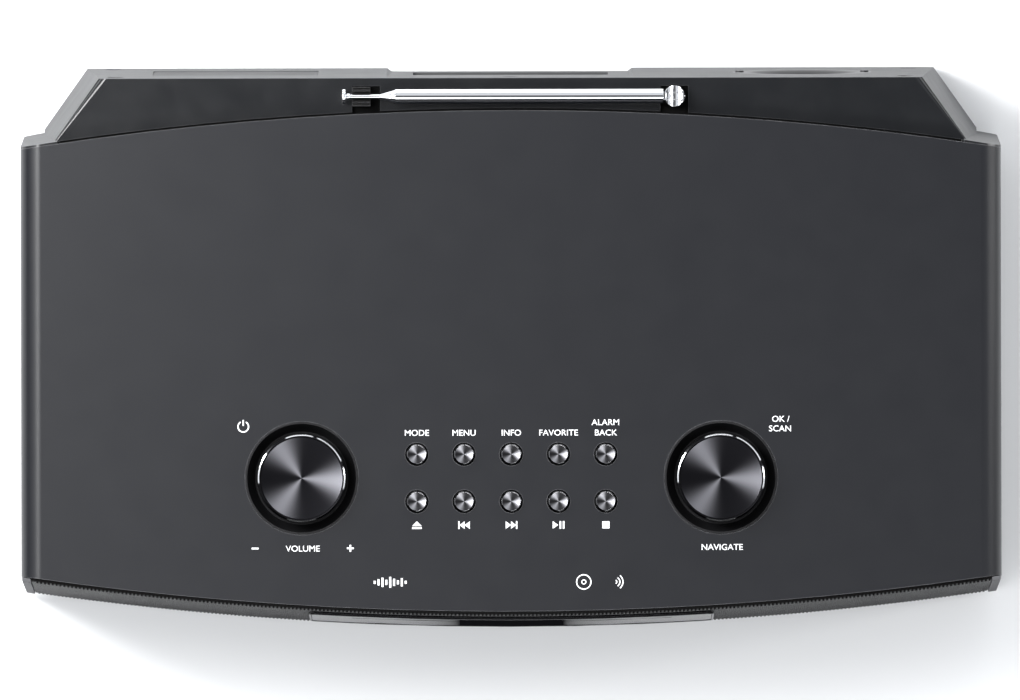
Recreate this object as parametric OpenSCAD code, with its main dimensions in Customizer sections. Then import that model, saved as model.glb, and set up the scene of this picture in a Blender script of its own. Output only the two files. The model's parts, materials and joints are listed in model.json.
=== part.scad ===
// Tabletop radio: a wooden sleeve closed by a moulded rear cover and a full-width grille,
// with sprung keys, two push-and-turn knobs, a disc player and a folding telescopic aerial.
// Origin: middle of the footprint on the table. +X right, +Y rear, +Z up.

/* [Cabinet] */
// Width of the wooden sleeve
body_w = 380; // [316:1:456]
// Height of the wooden sleeve, without its feet
body_h = 112; // [93:1:136]
// Thickness of the sleeve's board
sleeve_wall = 9; // [7:0.5:10]
// Radius of the sleeve's long edges
edge_r = 8; // [4:0.5:12]
// Middle of the sleeve's front edge, ahead of the origin
front_y = 102.4; // [98:0.1:110]
// Middle of the top panel's rear edge, behind the origin
rear_y = 91.8; // [88:0.1:93]
// Plan radius of the bowed front
front_arc_r = 1296; // [1100:1:1600]
// Plan radius of the top panel's bowed rear edge
rear_arc_r = 1227; // [1100:1:1600]
// How far the front leans back, in degrees
lean = 2.6; // [0:0.01:3.5]

/* [Rear cover] */
// Rear face of the cover at its foot
cover_y = 109.2; // [107:0.1:113]
// Wall of the rear cover
cover_wall = 3; // [2:0.25:4]
// How far the ledge lies below the top panel
ledge_drop = 10.5; // [10:0.5:16]
// Shadow gap between the top panel and the ledge
ledge_gap = 0.9; // [0.8:0.1:2]
// Middle of the bass port, to the right
port_x = 113.5; // [95:0.5:120]
// Outside diameter of the port's flare
port_flare_d = 45; // [40:1:54]
// Bore of the port tube
port_bore_d = 32; // [26:1:36]
// Length of the port tube
port_len = 72; // [50:1:90]

/* [Front] */
// Thickness of the perforated grille
grille_t = 0.8; // [0.6:0.1:1]
// Depth of the frame between the sleeve and the grille
frame_t = 1; // [0.8:0.1:1.6]
// Thickness of the speaker baffle
baffle_t = 8; // [6:0.5:10]
// Width of the black fascia
fascia_w = 157.2; // [150:0.2:164]
// Height of the black fascia
fascia_h = 70; // [68:1:74]
// How far the fascia stands ahead of the grille
fascia_proud = 1; // [0.6:0.1:1.4]
// Diameter of a speaker's frame
speaker_d = 70; // [64:1:72]

/* [Controls] */
// Distance of each knob from the middle
knob_x = 81.2; // [76:0.1:86]
// Distance of the knobs ahead of the origin
knob_y = 50.6; // [48:0.1:54]
// Diameter of a knob
knob_d = 34.5; // [28.7:0.1:41.4]
// Height of a knob above the top panel
knob_rise = 8; // [6:0.5:12]
// Gap from the knob to the rim of its well
well_gap = 4.75; // [3:0.25:6]
// Depth of a knob's well
well_depth = 7.5; // [6.5:0.25:8]
// Diameter of the knob shaft
shaft_d = 6; // [5:0.5:7]
// Diameter of a key's cap
key_d = 8; // [6.6:0.1:9.6]
// Gap round a key in its hole
key_gap = 0.5; // [0.3:0.05:0.6]
// Height of a key above the top panel
key_rise = 1.4; // [1:0.1:2.5]
// Sideways pitch of the keys
key_pitch = 18.3; // [16:0.1:19]
// Distance between the two rows of keys
row_pitch = 18.3; // [16:0.1:20]
// Travel of keys and knobs when pressed
press = 0.8; // [0.4:0.1:1]

/* [Aerial] */
// Diameter of the aerial's base tube
tube_d = 5.8; // [5.6:0.1:7]
// Wall of each aerial tube
tube_wall = 0.35; // [0.25:0.01:0.36]
// Distance of the swivel from the middle
swivel_x = 63.5; // [60:0.5:70]
// Distance of the aerial behind the origin
aerial_y = 97.2; // [97:0.1:99]
// Length of the base tube
base_len = 104; // [90:1:110]
// Diameter of the swivel
turret_d = 8.1; // [7.8:0.1:9.5]

/* [Inside] */
// Width of the disc player
player_w = 142; // [136:1:146]
// Depth of the disc player
player_d = 150; // [140:1:155]
// Height of the disc player
player_h = 24; // [22:1:26]
// Travel of the pickup
pickup_travel = 34; // [30:1:36]
// Height of the rubber feet
foot_h = 4; // [3:0.5:6]
// Thickness of the circuit boards
board_t = 1.6; // [1.2:0.2:2]

/* [Hidden] */
big = 600;
arc_fn = 900;
fine_fn = 96;
half_w = body_w / 2;
top_z = foot_h + body_h;
ceiling_z = top_z - sleeve_wall;
floor_z = foot_h + sleeve_wall;
inner_w = body_w - 2 * sleeve_wall;
inner_h = body_h - 2 * sleeve_wall;
fit = 0.3;
running = 0.05;
touch = 0.02;
screw_clear = 0.4;
spare = 20;
deep = 60;

// rear cover
ledge_z = top_z - ledge_drop;
rear_end_y = rear_y - rear_arc_r + sqrt(rear_arc_r * rear_arc_r - half_w * half_w);
ear_foot = 5.9;
ear_lip = 0.8;
ear_draft = atan((ear_foot - ear_lip) / body_h);
ear_turn = 81;
ear_w = 14.2;
ear_root = 8;
rear_corner_x = half_w - 24.7;
chamfer_turn = 35.3;
rear_rake = 4.8;
rear_draft = atan(rear_rake / (ledge_z - foot_h));
chamfer_rake = 7.5;
chamfer_draft = atan(chamfer_rake / (ledge_z - foot_h));
cover_front = 12;
rim_deep = 8;
rim_r = 1.5;
seam = 0.05;
screw_d = 3;
screw_len = 10;
screw_head_d = 6.2;
screw_head_t = 1.5;
screw_sink = 0.3;
cross_w = 3.6;
cross_t = 0.8;
cross_deep = 1.2;
screw_low = [10, 10];
screw_high = [12, ledge_z - 17.5];
bay_x0 = -46.4;
bay_x1 = 45.7;
bay_deep = 1.3;
bay_top = 94;
bay_slant = 1.3;
window_w = 76;
window_h = 40;
window_z = 18;
plate_back = 1.8;
jack_z = 38;
audio_x = [-6, 10];
audio_d = 7;
inlet_x = 27;
inlet_d = 9;
usb_x = -29;
usb_w = 14;
usb_h = 6.5;
usb_wall = 0.5;
jack_room = 0.2;
jack_face = 0.98 - cover_wall;
plate_hold = 0.3;
label_x0 = -139.1;
label_x1 = -74.8;
label_z0 = 28;
label_z1 = 72;
label_deep = 0.6;
port_z = 0.47 * (ledge_z - foot_h);
port_screw_x = port_flare_d / 2 + 1.8;
port_screw_d = 1.8;
port_screw_len = 3;
port_screw_out = 0.5;
port_head_d = 3.2;
port_head_t = 0.6;
port_flange_d = port_flare_d + 9;
port_flange_t = 1.2;
port_tube_t = 2.5;
port_flare_r = (port_flare_d - port_bore_d) / 2;
pocket_deep = 2.4;
pocket_w = 10.8;
pocket_y0 = rear_y - 6;
pocket_y1 = aerial_y + 4.1;
socket_hole_d = 9.2;
groove_z = ledge_z - 1;
foot_d = 18;
foot_front_y = -front_y + 32;
foot_rear_y = rear_end_y - 14;
foot_x = half_w - 34;

// keys and knobs
well_d = knob_d + 2 * well_gap;
well_t = 2;
key_hole_d = key_d + 2 * key_gap;
key_y = -knob_y;
key_columns = [-2, -1, 0, 1, 2];
key_flange_d = key_hole_d + 1.6;
key_flange_t = 1;
key_board_top = ceiling_z - 7;
switch_h = 2.4;
switch_gap = 0.2;
key_flange_top = ceiling_z - 0.3;
key_foot_z = key_board_top + switch_h + press + switch_gap;
encoder_w = 12;
bush_d = shaft_d + 1.6;
knob_foot = top_z - well_depth + press + 0.7;
knob_top = top_z + knob_rise;
knob_wall = 2;
plunger_z = key_board_top + press + 0.4;
plunger_t = 1.4;
hub_d = shaft_d + 6;
hub_up = 3.5;
shaft_seat = 4;
knob_roof = 3;
plunger_d = shaft_d - 1;
well_rim = 0.9;
well_curve = 2.6;
well_step = 0.8;
knob_lip = 1;
knob_dish = 0.4;
key_edge_deep = 0.3;
key_stem_d = 3.4;
switch_w = 6;
key_board_side = 13;
key_board_end = 11;
post_d = 5;
post_out = [4, 8];

// disc player
player_top = key_board_top - board_t - 3;
player_z = player_top - player_h;
player_y0 = -front_y + 14;
sheet = 1;
spindle_y = player_y0 + 72;
leg_w = 6;
leg_in = 12;
slot_side = 8;
slot_sill = 9;
rod_x = 24;
rod_d = 3;
rod_z = player_z + 6;
sledge = [60, 16, 6];
sledge_y = spindle_y + 18;
lens_d = 8;
lens_t = 1.5;
spindle_hole_d = 8;
rotor_z = player_z + 1.4;
rotor_d = 22;
rotor_t = 5;
platter_d = 28;
platter_t = 2;
boss_d = 14.8;
boss_top_d = 12;
boss_t = 2.6;
roller_d = 7;
roller_len = 110;
axle_d = 2.5;
axle_out = 6;
main_board_z = floor_z + 6;
main_size = [120, 96];
main_board_y = -30;
standoff_d = 6;
standoff_in = 6;
chip = [22, 22, 3];
chip_x = -14;
capacitor_d = 10;
capacitor_h = 16;
fin_pitch = 7;
fin_t = 2;
fin_deep = 12;
sink_h = 22;
sink_t = 3;

// front
front_trim = 0.4;
front_foot = -body_h / cos(lean) + front_trim;
front_head = -front_trim;
grille_face = -frame_t - grille_t;
window_side = 3.7;
grille_inset = 0.3;
frame_bar = 4.5;
cap_proud = 0.2;
cap_lap = 0.1;
fascia_r = 4;
fascia_lap = 0.6;
surround_w = 0.8;
lens_in = surround_w + 0.1;
baffle_face = 0.1;
baffle_room = 0.8;
lens_sink = 0.2;
glass_t = 1.4;
corner_facets = 12;
fascia_top = 15;
fascia_z = -fascia_top - fascia_h / 2;
speaker_x = (fascia_w / 2 + inner_w / 2) / 2 + 1;
speaker_turn = asin(speaker_x / front_arc_r);
speaker_z = -body_h / 2;
speaker_hole_d = speaker_d - 9;
speaker_seat = baffle_t + 0.6;
flange_t = 2;
basket_deep = 18;
basket_neck_d = 34;
basket_bore_d = 26;
basket_wall = 1.5;
basket_open_d = 22;
basket_window = [18, 6, 9];
magnet_z = speaker_seat + flange_t + basket_deep;
magnet_d = 46;
magnet_t = 9;
magnet_plate_d = 40;
magnet_plate_t = 3;
pole_d = 17;
pole_gap_d = 20.6;
coil_r = 10.2;
coil_wall = 1;
surround_r = 3;
surround_t = 0.6;
speaker_head_d = 3.8;
speaker_head_t = 1.2;
speaker_screw_in = 2.1;
speaker_screw_d = 1.8;
screw_bite = 3.5;
slot_w = 124;
slot_h = 3;
slot_room = 2;
lip_y = baffle_t + 3.5;
lip_t = 1.2;
lip_gap = 0.5;
lip_h = slot_h / 2 + 0.1;
disc_rise = 10;
slot_z = player_z + disc_rise - top_z;
screen_w = 62;
screen_h = 36;
screen_z = slot_z - 8.5 - screen_h / 2;
screen_y = 1.2;
screen_t = 3;
screen_edge = 3;
screen_room = 5;
screen_gap = 0.5;
driver = [36, 3, 14];
driver_z = -8;

// aerial
aerial_z = ledge_z + 5.6;
tongue_r = turret_d / 2 - 0.1;
section_step = 1.36;
section_inset = 2.2;
tongue_t = 2.6;
tongue_root = 5;
tongue_room = 0.1;
pin_d = 1.6;
cheek_r = turret_d / 2 + 0.1;
turret_foot = ledge_z + 0.4;
stem_d = 5;
stem_down = 2.6;
retainer_d = 8;
retainer_t = 1.6;
retainer_down = 3.4;
flange_d = 14;
collar_h = 1.6;
socket_d = 9;
socket_lap = 0.5;
base_x0 = swivel_x - cheek_r - 0.15;
base_x1 = base_x0 - base_len;
tip_d = 5.9;
tip_t = 1.3;
rod_reach = 19.1;
collar_d = 2.6;
collar_t = 1.5;
collar_back = 1.8;
clip_x0 = base_x1 - 16.5;
clip_x1 = base_x1 - 9.5;
clip_wall = 1.6;
clip_throat = 4.2;
clip_floor = 2.2;
clip_top = 1.6;
clip_mouth = [3.2, 35, 1.9];
tip_pocket_x = base_x1 - 11.2;
stop_back = 0.3;
socket_flat = cover_y - rear_rake - cover_wall - fit - aerial_y;

function tube_r(i) = tube_d / 2 - i * (tube_wall + running);

// ---- shared shapes -----------------------------------------------------------------

module round_rect(w, h, r, facets = fine_fn) {
    square([w - 2 * r, h], center = true);
    square([w, h - 2 * r], center = true);
    for (sx = [-1, 1], sz = [-1, 1])
        translate([sx * (w / 2 - r), sz * (h / 2 - r)]) circle(r = r, $fn = facets);
}

// A bar along Y with the sleeve's rounded section.
module section_bar(w, h, r, y0, y1)
    translate([0, y1, foot_h + body_h / 2]) rotate([90, 0, 0])
        linear_extrude(y1 - y0) round_rect(w, h, r);

// The front's own axes: z runs up the leaning face, y runs rearward.
module on_front() translate([0, -front_y, top_z]) rotate([-lean, 0, 0]) children();

// Everything behind the bowed front surface, moved rearward by off.
module front_disc(off, z0, z1)
    translate([0, front_arc_r, z0])
        cylinder(r = front_arc_r - off, h = z1 - z0, $fn = arc_fn);

// A bowed slab between two offsets of the front surface.
module front_slab(off0, off1, w, z0, z1)
    intersection() {
        difference() {
            front_disc(off0, z0, z1);
            front_disc(off1, z0 - 1, z1 + 1);
        }
        translate([-w / 2, -20, z0]) cube([w, 100, z1 - z0]);
    }

module rear_disc(off, z0, z1)
    translate([0, rear_y - rear_arc_r, z0])
        cylinder(r = rear_arc_r + off, h = z1 - z0, $fn = arc_fn);

// Everything outside a face that passes through p, looks towards turn and leans in by draft.
module beyond(p, turn, draft, off)
    translate(p) rotate([0, -draft, turn])
        translate([-off, -big / 2, -big / 2]) cube(big);

// The rear face's own axes: y points out of it, z runs up it.
module on_rear() translate([0, cover_y, foot_h]) rotate([rear_draft, 0, 0]) children();

module both() for (s = [0, 1]) mirror([s, 0, 0]) children();

// A place on the bowed baffle, square to it, at the speakers.
module at_speakers()
    on_front() for (s = [-1, 1])
        translate([0, front_arc_r, speaker_z]) rotate([0, 0, s * speaker_turn])
            translate([0, -front_arc_r, 0]) rotate([-90, 0, 0]) children();

module ring(od, id, h) difference() {
    cylinder(d = od, h = h, $fn = fine_fn);
    translate([0, 0, -1]) cylinder(d = id, h = h + 2, $fn = fine_fn);
}

module at_knob(side) translate([side * knob_x, -knob_y, 0]) children();

function key_place(column, row) = [column * key_pitch, key_y + (row - 0.5) * row_pitch, 0];

// ---- cabinet -----------------------------------------------------------------------

// What the bowed front and the bowed rear edge leave of the sleeve's boards.
module bow_cut() {
    on_front() difference() {
        translate([-body_w, -deep, -2 * body_h]) cube([2 * body_w, 2 * deep, 3 * body_h]);
        front_disc(0, -3 * body_h, 2 * body_h);
    }
    difference() {
        translate([-body_w, rear_end_y - spare, 0]) cube([2 * body_w, deep, 2 * body_h]);
        rear_disc(0, -1, 3 * body_h);
    }
}

// The top or bottom board, with the sleeve's rounded long edges.
module wide_board(z0) intersection() {
    section_bar(body_w, body_h, edge_r, -front_y - spare, rear_y + 1);
    translate([-body_w, -big / 2, z0]) cube([2 * body_w, big, sleeve_wall]);
}

module sleeve_top() color([0.20, 0.20, 0.21]) difference() {
    wide_board(ceiling_z);
    bow_cut();
    for (side = [-1, 1]) at_knob(side)
        translate([0, 0, ceiling_z - 1]) cylinder(d = well_d, h = sleeve_wall + 2, $fn = fine_fn);
    for (column = key_columns, row = [0, 1]) translate(key_place(column, row))
        translate([0, 0, ceiling_z - 1])
            cylinder(d = key_hole_d, h = sleeve_wall + 2, $fn = fine_fn);
}

module sleeve_floor() color([0.20, 0.20, 0.21]) difference() {
    wide_board(foot_h);
    bow_cut();
}

module sleeve_sides() color([0.20, 0.20, 0.21]) difference() {
    for (x = [-half_w, inner_w / 2]) translate([x, -front_y - spare, floor_z])
        cube([sleeve_wall, front_y + rear_y + spare, inner_h]);
    bow_cut();
}

// The drafted block that stands out behind the sleeve.
module bulge() difference() {
    translate([-half_w + edge_r, rear_end_y, foot_h])
        cube([body_w - 2 * edge_r, cover_y - rear_end_y, ledge_z - foot_h]);
    beyond([0, cover_y, foot_h], 90, rear_draft, 0);
    both() beyond([rear_corner_x, cover_y, foot_h], chamfer_turn, chamfer_draft, 0);
}

// The two ears that close the sleeve's rear end at its sides.
module ears() difference() {
    section_bar(body_w, body_h, edge_r, rear_end_y - 1, cover_y);
    rear_disc(seam, 0, 2 * body_h);
    both() beyond([half_w, rear_end_y + ear_foot, foot_h], ear_turn, ear_draft, 0);
    translate([-half_w + ear_w, 0, ledge_z]) cube([body_w - 2 * ear_w, big, big]);
    translate([-half_w + ear_w + ear_root, 0, 0])
        cube([body_w - 2 * ear_w - 2 * ear_root, big, big]);
}

// The rim that slips into the sleeve and shows as a step behind the top panel.
module rim() difference() {
    intersection() {
        section_bar(inner_w - 2 * fit, inner_h - 2 * fit, rim_r, rear_end_y - cover_front,
            cover_y);
        rear_disc(ledge_gap, 0, 2 * body_h);
    }
    rear_disc(-rim_deep, -1, 3 * body_h);
    section_bar(inner_w - 2 * fit - 2 * cover_wall, inner_h - 2 * fit - 2 * cover_wall,
        rim_r - 0.5, rear_end_y - 2 * cover_front, 2 * cover_y);
}

module bulge_hollow() difference() {
    translate([-half_w, rear_end_y - 2 * cover_front, foot_h + cover_wall])
        cube([body_w, cover_y, ledge_z - foot_h - 2 * cover_wall]);
    beyond([0, cover_y, foot_h], 90, rear_draft, cover_wall);
    both() beyond([rear_corner_x, cover_y, foot_h], chamfer_turn, chamfer_draft, cover_wall);
    both() translate([inner_w / 2 - fit - cover_wall, 0, 0]) cube(big);
}

// The shallow bay round the sockets, deepest at the foot, with sloping ends.
module socket_bay() intersection() {
    translate([0, 0, -1]) linear_extrude(bay_top + 1)
        polygon([[bay_x0, -bay_deep], [bay_x1, -bay_deep],
                 [bay_x1 + bay_slant * (bay_deep + 1), 1], [bay_x0 - bay_slant * (bay_deep + 1), 1]]);
    translate([-half_w, 0, 0]) rotate([90, 0, 90]) linear_extrude(body_w)
        polygon([[-bay_deep, -1], [1, -1], [1, bay_top], [0, bay_top]]);
}

module cover_features() {
    // shadow groove behind the top panel
    intersection() {
        difference() {
            rear_disc(ledge_gap, groove_z, 2 * body_h);
            rear_disc(seam, groove_z - 1, 2 * body_h + 2);
        }
        translate([-half_w + ear_w + 1, 0, groove_z]) cube([body_w - 2 * ear_w - 2, cover_y, body_h]);
    }
    // aerial pockets in the ledge
    for (x = [tip_pocket_x, swivel_x])
        translate([x - pocket_w / 2, pocket_y0, ledge_z - pocket_deep])
            cube([pocket_w, pocket_y1 - pocket_y0, pocket_deep + spare]);
    translate([swivel_x, aerial_y, ledge_z - spare])
        cylinder(d = socket_hole_d, h = 2 * spare, $fn = fine_fn);
    on_rear() {
        socket_bay();
        // window for the socket plate
        translate([-window_w / 2, -spare, window_z]) cube([window_w, 2 * spare, window_h]);
        // seat of the rating plate
        translate([label_x0, -label_deep, label_z0])
            cube([label_x1 - label_x0, spare, label_z1 - label_z0]);
        // port
        translate([port_x, 1, port_z]) rotate([90, 0, 0])
            cylinder(d = port_flange_d + fit, h = 1 + port_flange_t, $fn = fine_fn);
        translate([port_x, 1, port_z]) rotate([90, 0, 0])
            cylinder(d = port_flare_d + 2 * fit, h = spare, $fn = fine_fn);
        port_screw_holes(port_screw_d + 2 * running);
    }
}

module rear_cover() color([0.13, 0.13, 0.14]) difference() {
    union() {
        difference() {
            bulge();
            bulge_hollow();
            rear_disc(seam, 0, 2 * body_h);
        }
        ears();
        rim();
    }
    cover_features();
    for (p = cover_screw_places()) on_rear() translate([p[0], 1, p[1]]) rotate([90, 0, 0])
        cylinder(d = screw_d + screw_clear, h = spare, $fn = fine_fn);
    for (p = cover_screw_places()) on_rear() translate([p[0], 1, p[1]]) rotate([90, 0, 0])
        cylinder(d = screw_head_d + screw_clear, h = 1 + screw_sink + screw_head_t, $fn = fine_fn);
}

function cover_screw_places() = [
    [-rear_corner_x + screw_low[0], screw_low[1]], [rear_corner_x - screw_low[0], screw_low[1]],
    [-rear_corner_x + screw_high[0], screw_high[1]], [rear_corner_x - screw_high[0], screw_high[1]],
    [0, screw_high[1]]];

module cover_screws() {
    for (p = cover_screw_places()) translate([p[0], 0, p[1]]) rotate([90, 0, 0]) {
        difference() {
            translate([0, 0, screw_sink])
                cylinder(d = screw_head_d, h = screw_head_t, $fn = fine_fn);
            for (a = [0, 90]) rotate([0, 0, a])
                translate([-cross_w / 2, -cross_t / 2, 0]) cube([cross_w, cross_t, cross_deep]);
        }
        translate([0, 0, screw_sink + screw_head_t])
            cylinder(d = screw_d, h = screw_len, $fn = fine_fn);
    }
}

module port_screws() {
    port_screw_holes(port_screw_d);
    for (side = [-1, 1]) translate([port_x + side * port_screw_x, port_head_t, port_z])
        rotate([90, 0, 0]) cylinder(d = port_head_d, h = port_head_t - touch, $fn = fine_fn);
}

module screws() color([0.10, 0.10, 0.11]) {
    on_rear() {
        cover_screws();
        port_screws();
    }
    speaker_screws();
}

module feet() color([0.08, 0.08, 0.08])
    for (sx = [-1, 1], y = [foot_front_y, foot_rear_y])
        translate([sx * foot_x, y, 0]) cylinder(d = foot_d, h = foot_h, $fn = fine_fn);

// ---- front -------------------------------------------------------------------------

module front_frame() color([0.06, 0.06, 0.06]) on_front() difference() {
    front_slab(-frame_t, 0, body_w - 2 * window_side - 2 * grille_inset, front_foot, front_head);
    front_slab(-frame_t - 1, 1, body_w - 2 * window_side - 2 * frame_bar,
        front_foot + frame_bar, front_head - frame_bar);
}

module frame_end_caps() color([0.45, 0.45, 0.46]) on_front()
    intersection() {
        front_slab(grille_face - cap_proud, -fit, body_w - 2 * front_trim, front_foot, front_head);
        both() translate([half_w - window_side - cap_lap, -deep, -2 * body_h])
            cube([spare, 2 * deep, 3 * body_h]);
    }

module speaker_grille() color([0.10, 0.10, 0.10]) on_front() difference() {
    front_slab(grille_face, -frame_t, body_w - 2 * window_side - 2 * grille_inset,
        front_foot + grille_inset, front_head - grille_inset);
    translate([-fascia_w / 2 + fascia_lap, -deep, fascia_z - fascia_h / 2 + fascia_lap])
        cube([fascia_w - 2 * fascia_lap, 2 * deep, fascia_h - 2 * fascia_lap]);
}

// The baffle leans with the front, and is cut level so that it fits between the boards at any width.
module front_baffle() color([0.09, 0.09, 0.09]) difference() {
    intersection() {
        on_front() front_slab(baffle_face, baffle_t, inner_w - 2 * fit, -body_h, 0);
        translate([-half_w, -front_y - deep, floor_z + baffle_room])
            cube([body_w, 2 * deep, inner_h - 2 * baffle_room]);
    }
    at_speakers() translate([0, 0, -spare / 2])
        cylinder(d = speaker_hole_d, h = 2 * spare, $fn = fine_fn);
    speaker_screw_holes();
    on_front() {
        translate([-slot_w / 2 - slot_room, -spare, slot_z - slot_h / 2 - slot_room])
            cube([slot_w + 2 * slot_room, 3 * spare, slot_h + 2 * slot_room]);
        translate([-screen_w / 2 - screen_room, -spare, screen_z - screen_h / 2 - screen_room])
            cube([screen_w + 2 * screen_room, 3 * spare, screen_h + 2 * screen_room]);
    }
}

// Outline of the fascia in the front's x and z.
module fascia_outline(w, h, r)
    translate([0, deep, fascia_z]) rotate([90, 0, 0]) linear_extrude(2 * deep)
        round_rect(w, h, r, corner_facets);

module fascia_surround() color([0.35, 0.35, 0.36]) on_front() difference() {
    intersection() {
        front_slab(grille_face - fascia_proud, grille_face - touch, fascia_w, -body_h, 0);
        fascia_outline(fascia_w, fascia_h, fascia_r);
    }
    fascia_outline(fascia_w - 2 * surround_w, fascia_h - 2 * surround_w, fascia_r - surround_w);
}

module fascia_lens() color([0.02, 0.02, 0.02]) on_front() difference() {
    intersection() {
        front_slab(grille_face - fascia_proud + lens_sink, 0, fascia_w, -body_h, 0);
        fascia_outline(fascia_w - 2 * lens_in, fascia_h - 2 * lens_in, fascia_r - lens_in);
    }
    translate([-slot_w / 2, -spare, slot_z - slot_h / 2]) cube([slot_w, 3 * spare, slot_h]);
    front_slab(grille_face - fascia_proud + lens_sink + glass_t, spare, screen_w + 2 * screen_gap,
        screen_z - screen_h / 2 - screen_gap, screen_z + screen_h / 2 + screen_gap);
}

module cd_slot_lips() color([0.05, 0.05, 0.05]) on_front()
    for (z = [lip_gap, -lip_gap - lip_h]) translate([-slot_w / 2, lip_y, slot_z + z])
        cube([slot_w, lip_t, lip_h]);

module display_module() color([0.05, 0.06, 0.08]) on_front()
    translate([0, screen_y, screen_z]) {
        translate([-screen_w / 2, 0, -screen_h / 2]) cube([screen_w, screen_t, screen_h]);
        translate([-screen_w / 2 - screen_edge, screen_t, -screen_h / 2 - screen_edge])
            cube([screen_w + 2 * screen_edge, board_t, screen_h + 2 * screen_edge]);
        translate([-driver[0] / 2, screen_t + board_t, driver_z]) cube(driver);
    }

// ---- speakers ----------------------------------------------------------------------

module speaker_baskets() color([0.12, 0.12, 0.13]) difference() {
    at_speakers() translate([0, 0, speaker_seat]) difference() {
        union() {
            cylinder(d = speaker_d, h = flange_t, $fn = fine_fn);
            translate([0, 0, flange_t])
                cylinder(d1 = speaker_d - 8, d2 = basket_neck_d, h = basket_deep, $fn = fine_fn);
        }
        translate([0, 0, -1]) cylinder(d = speaker_hole_d, h = 1 + basket_wall, $fn = fine_fn);
        translate([0, 0, basket_wall]) cylinder(d1 = speaker_hole_d, d2 = basket_bore_d,
            h = basket_deep - basket_wall, $fn = fine_fn);
        translate([0, 0, basket_deep - 3]) cylinder(d = basket_open_d, h = spare, $fn = fine_fn);
        for (a = [0, 120, 240]) rotate([0, 0, a])
            translate([0, -basket_window[0] / 2, basket_window[1]])
                cube([speaker_d, basket_window[0], basket_window[2]]);
    }
    speaker_screw_holes();
}

module speaker_magnets() color([0.25, 0.25, 0.26]) at_speakers()
    translate([0, 0, magnet_z]) difference() {
        union() {
            for (z = [0, magnet_plate_t + magnet_t]) translate([0, 0, z])
                cylinder(d = magnet_plate_d, h = magnet_plate_t, $fn = fine_fn);
            translate([0, 0, magnet_plate_t]) cylinder(d = magnet_d, h = magnet_t, $fn = fine_fn);
        }
        translate([0, 0, -1]) difference() {
            cylinder(d = pole_gap_d, h = magnet_plate_t + magnet_t, $fn = fine_fn);
            cylinder(d = pole_d, h = spare, $fn = fine_fn);
        }
    }

module speaker_cones() color([0.16, 0.16, 0.17]) at_speakers() translate([0, 0, speaker_seat])
    rotate_extrude($fn = fine_fn) {
        polygon([[coil_r - coil_wall, 13.2], [speaker_hole_d / 2 - 8, 1],
                 [speaker_hole_d / 2 - 7, 1], [speaker_hole_d / 2 - 7, 1.6], [coil_r, 14]]);
        translate([coil_r - coil_wall, 13.2]) square([coil_wall, 10.8]);
        polygon([[0, 9.4], [5.5, 10.6], [10, 13.1], [9.6, 13.8], [5, 11.4], [0, 10.2]]);
    }

module cone_surrounds() color([0.05, 0.05, 0.05]) at_speakers() translate([0, 0, speaker_seat])
    rotate_extrude($fn = fine_fn) translate([speaker_hole_d / 2 - 4, 1.1]) difference() {
        union() {
            circle(r = surround_r, $fn = fine_fn);
            translate([touch - surround_r, 0]) square([2 * surround_r + 0.78, 0.5]);
        }
        circle(r = surround_r - surround_t, $fn = fine_fn);
        translate([-2 * surround_r, 0.5]) square(4 * surround_r);
    }

// Copies what follows to the four screws of each speaker, from the tip of the screw up.
module at_speaker_screws() at_speakers()
    for (a = [45, 135, 225, 315]) rotate([0, 0, a])
        translate([speaker_d / 2 - speaker_screw_in, 0, speaker_seat - screw_bite]) children();

module speaker_screws() at_speaker_screws() {
    cylinder(d = speaker_screw_d, h = screw_bite + flange_t, $fn = fine_fn);
    translate([0, 0, screw_bite + flange_t])
        cylinder(d = speaker_head_d, h = speaker_head_t, $fn = fine_fn);
}

module speaker_screw_holes() at_speaker_screws() translate([0, 0, -0.2])
    cylinder(d = speaker_screw_d + 2 * running, h = screw_bite + 2 * flange_t, $fn = fine_fn);

// ---- rear fittings -----------------------------------------------------------------

module port_screw_holes(d)
    for (side = [-1, 1]) translate([port_x + side * port_screw_x, port_screw_out, port_z])
        rotate([90, 0, 0]) cylinder(d = d, h = port_screw_len, $fn = fine_fn);

module port_tube() color([0.08, 0.08, 0.08]) on_rear() difference() {
    translate([port_x, 0, port_z]) rotate([90, 0, 0]) rotate_extrude($fn = fine_fn) {
        translate([port_bore_d / 2, port_flare_r]) square([port_tube_t, port_len - port_flare_r]);
        intersection() {
            translate([port_flare_d / 2, port_flare_r]) circle(r = port_flare_r, $fn = fine_fn);
            translate([port_bore_d / 2, 0]) square(port_flare_r);
        }
        translate([port_flare_d / 2 - 0.5, touch])
            square([(port_flange_d - port_flare_d) / 2 + 0.5, port_flange_t - touch]);
    }
    port_screw_holes(port_screw_d + screw_clear);
}

module jack_plate() color([0.16, 0.16, 0.17]) on_rear() difference() {
    translate([fit - window_w / 2, -cover_wall - plate_back, window_z + fit])
        cube([window_w - 2 * fit, plate_back + 1 - touch, window_h - 2 * fit]);
    for (x = audio_x) translate([x, spare, jack_z]) rotate([90, 0, 0])
        cylinder(d = audio_d + jack_room, h = 2 * spare, $fn = fine_fn);
    translate([inlet_x, spare, jack_z]) rotate([90, 0, 0])
        cylinder(d = inlet_d + jack_room, h = 2 * spare, $fn = fine_fn);
    translate([usb_x - usb_w / 2 - jack_room, -spare, jack_z - usb_h / 2 - plate_hold / 2])
        cube([usb_w + 2 * jack_room, 2 * spare, usb_h + plate_hold]);
}

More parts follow.
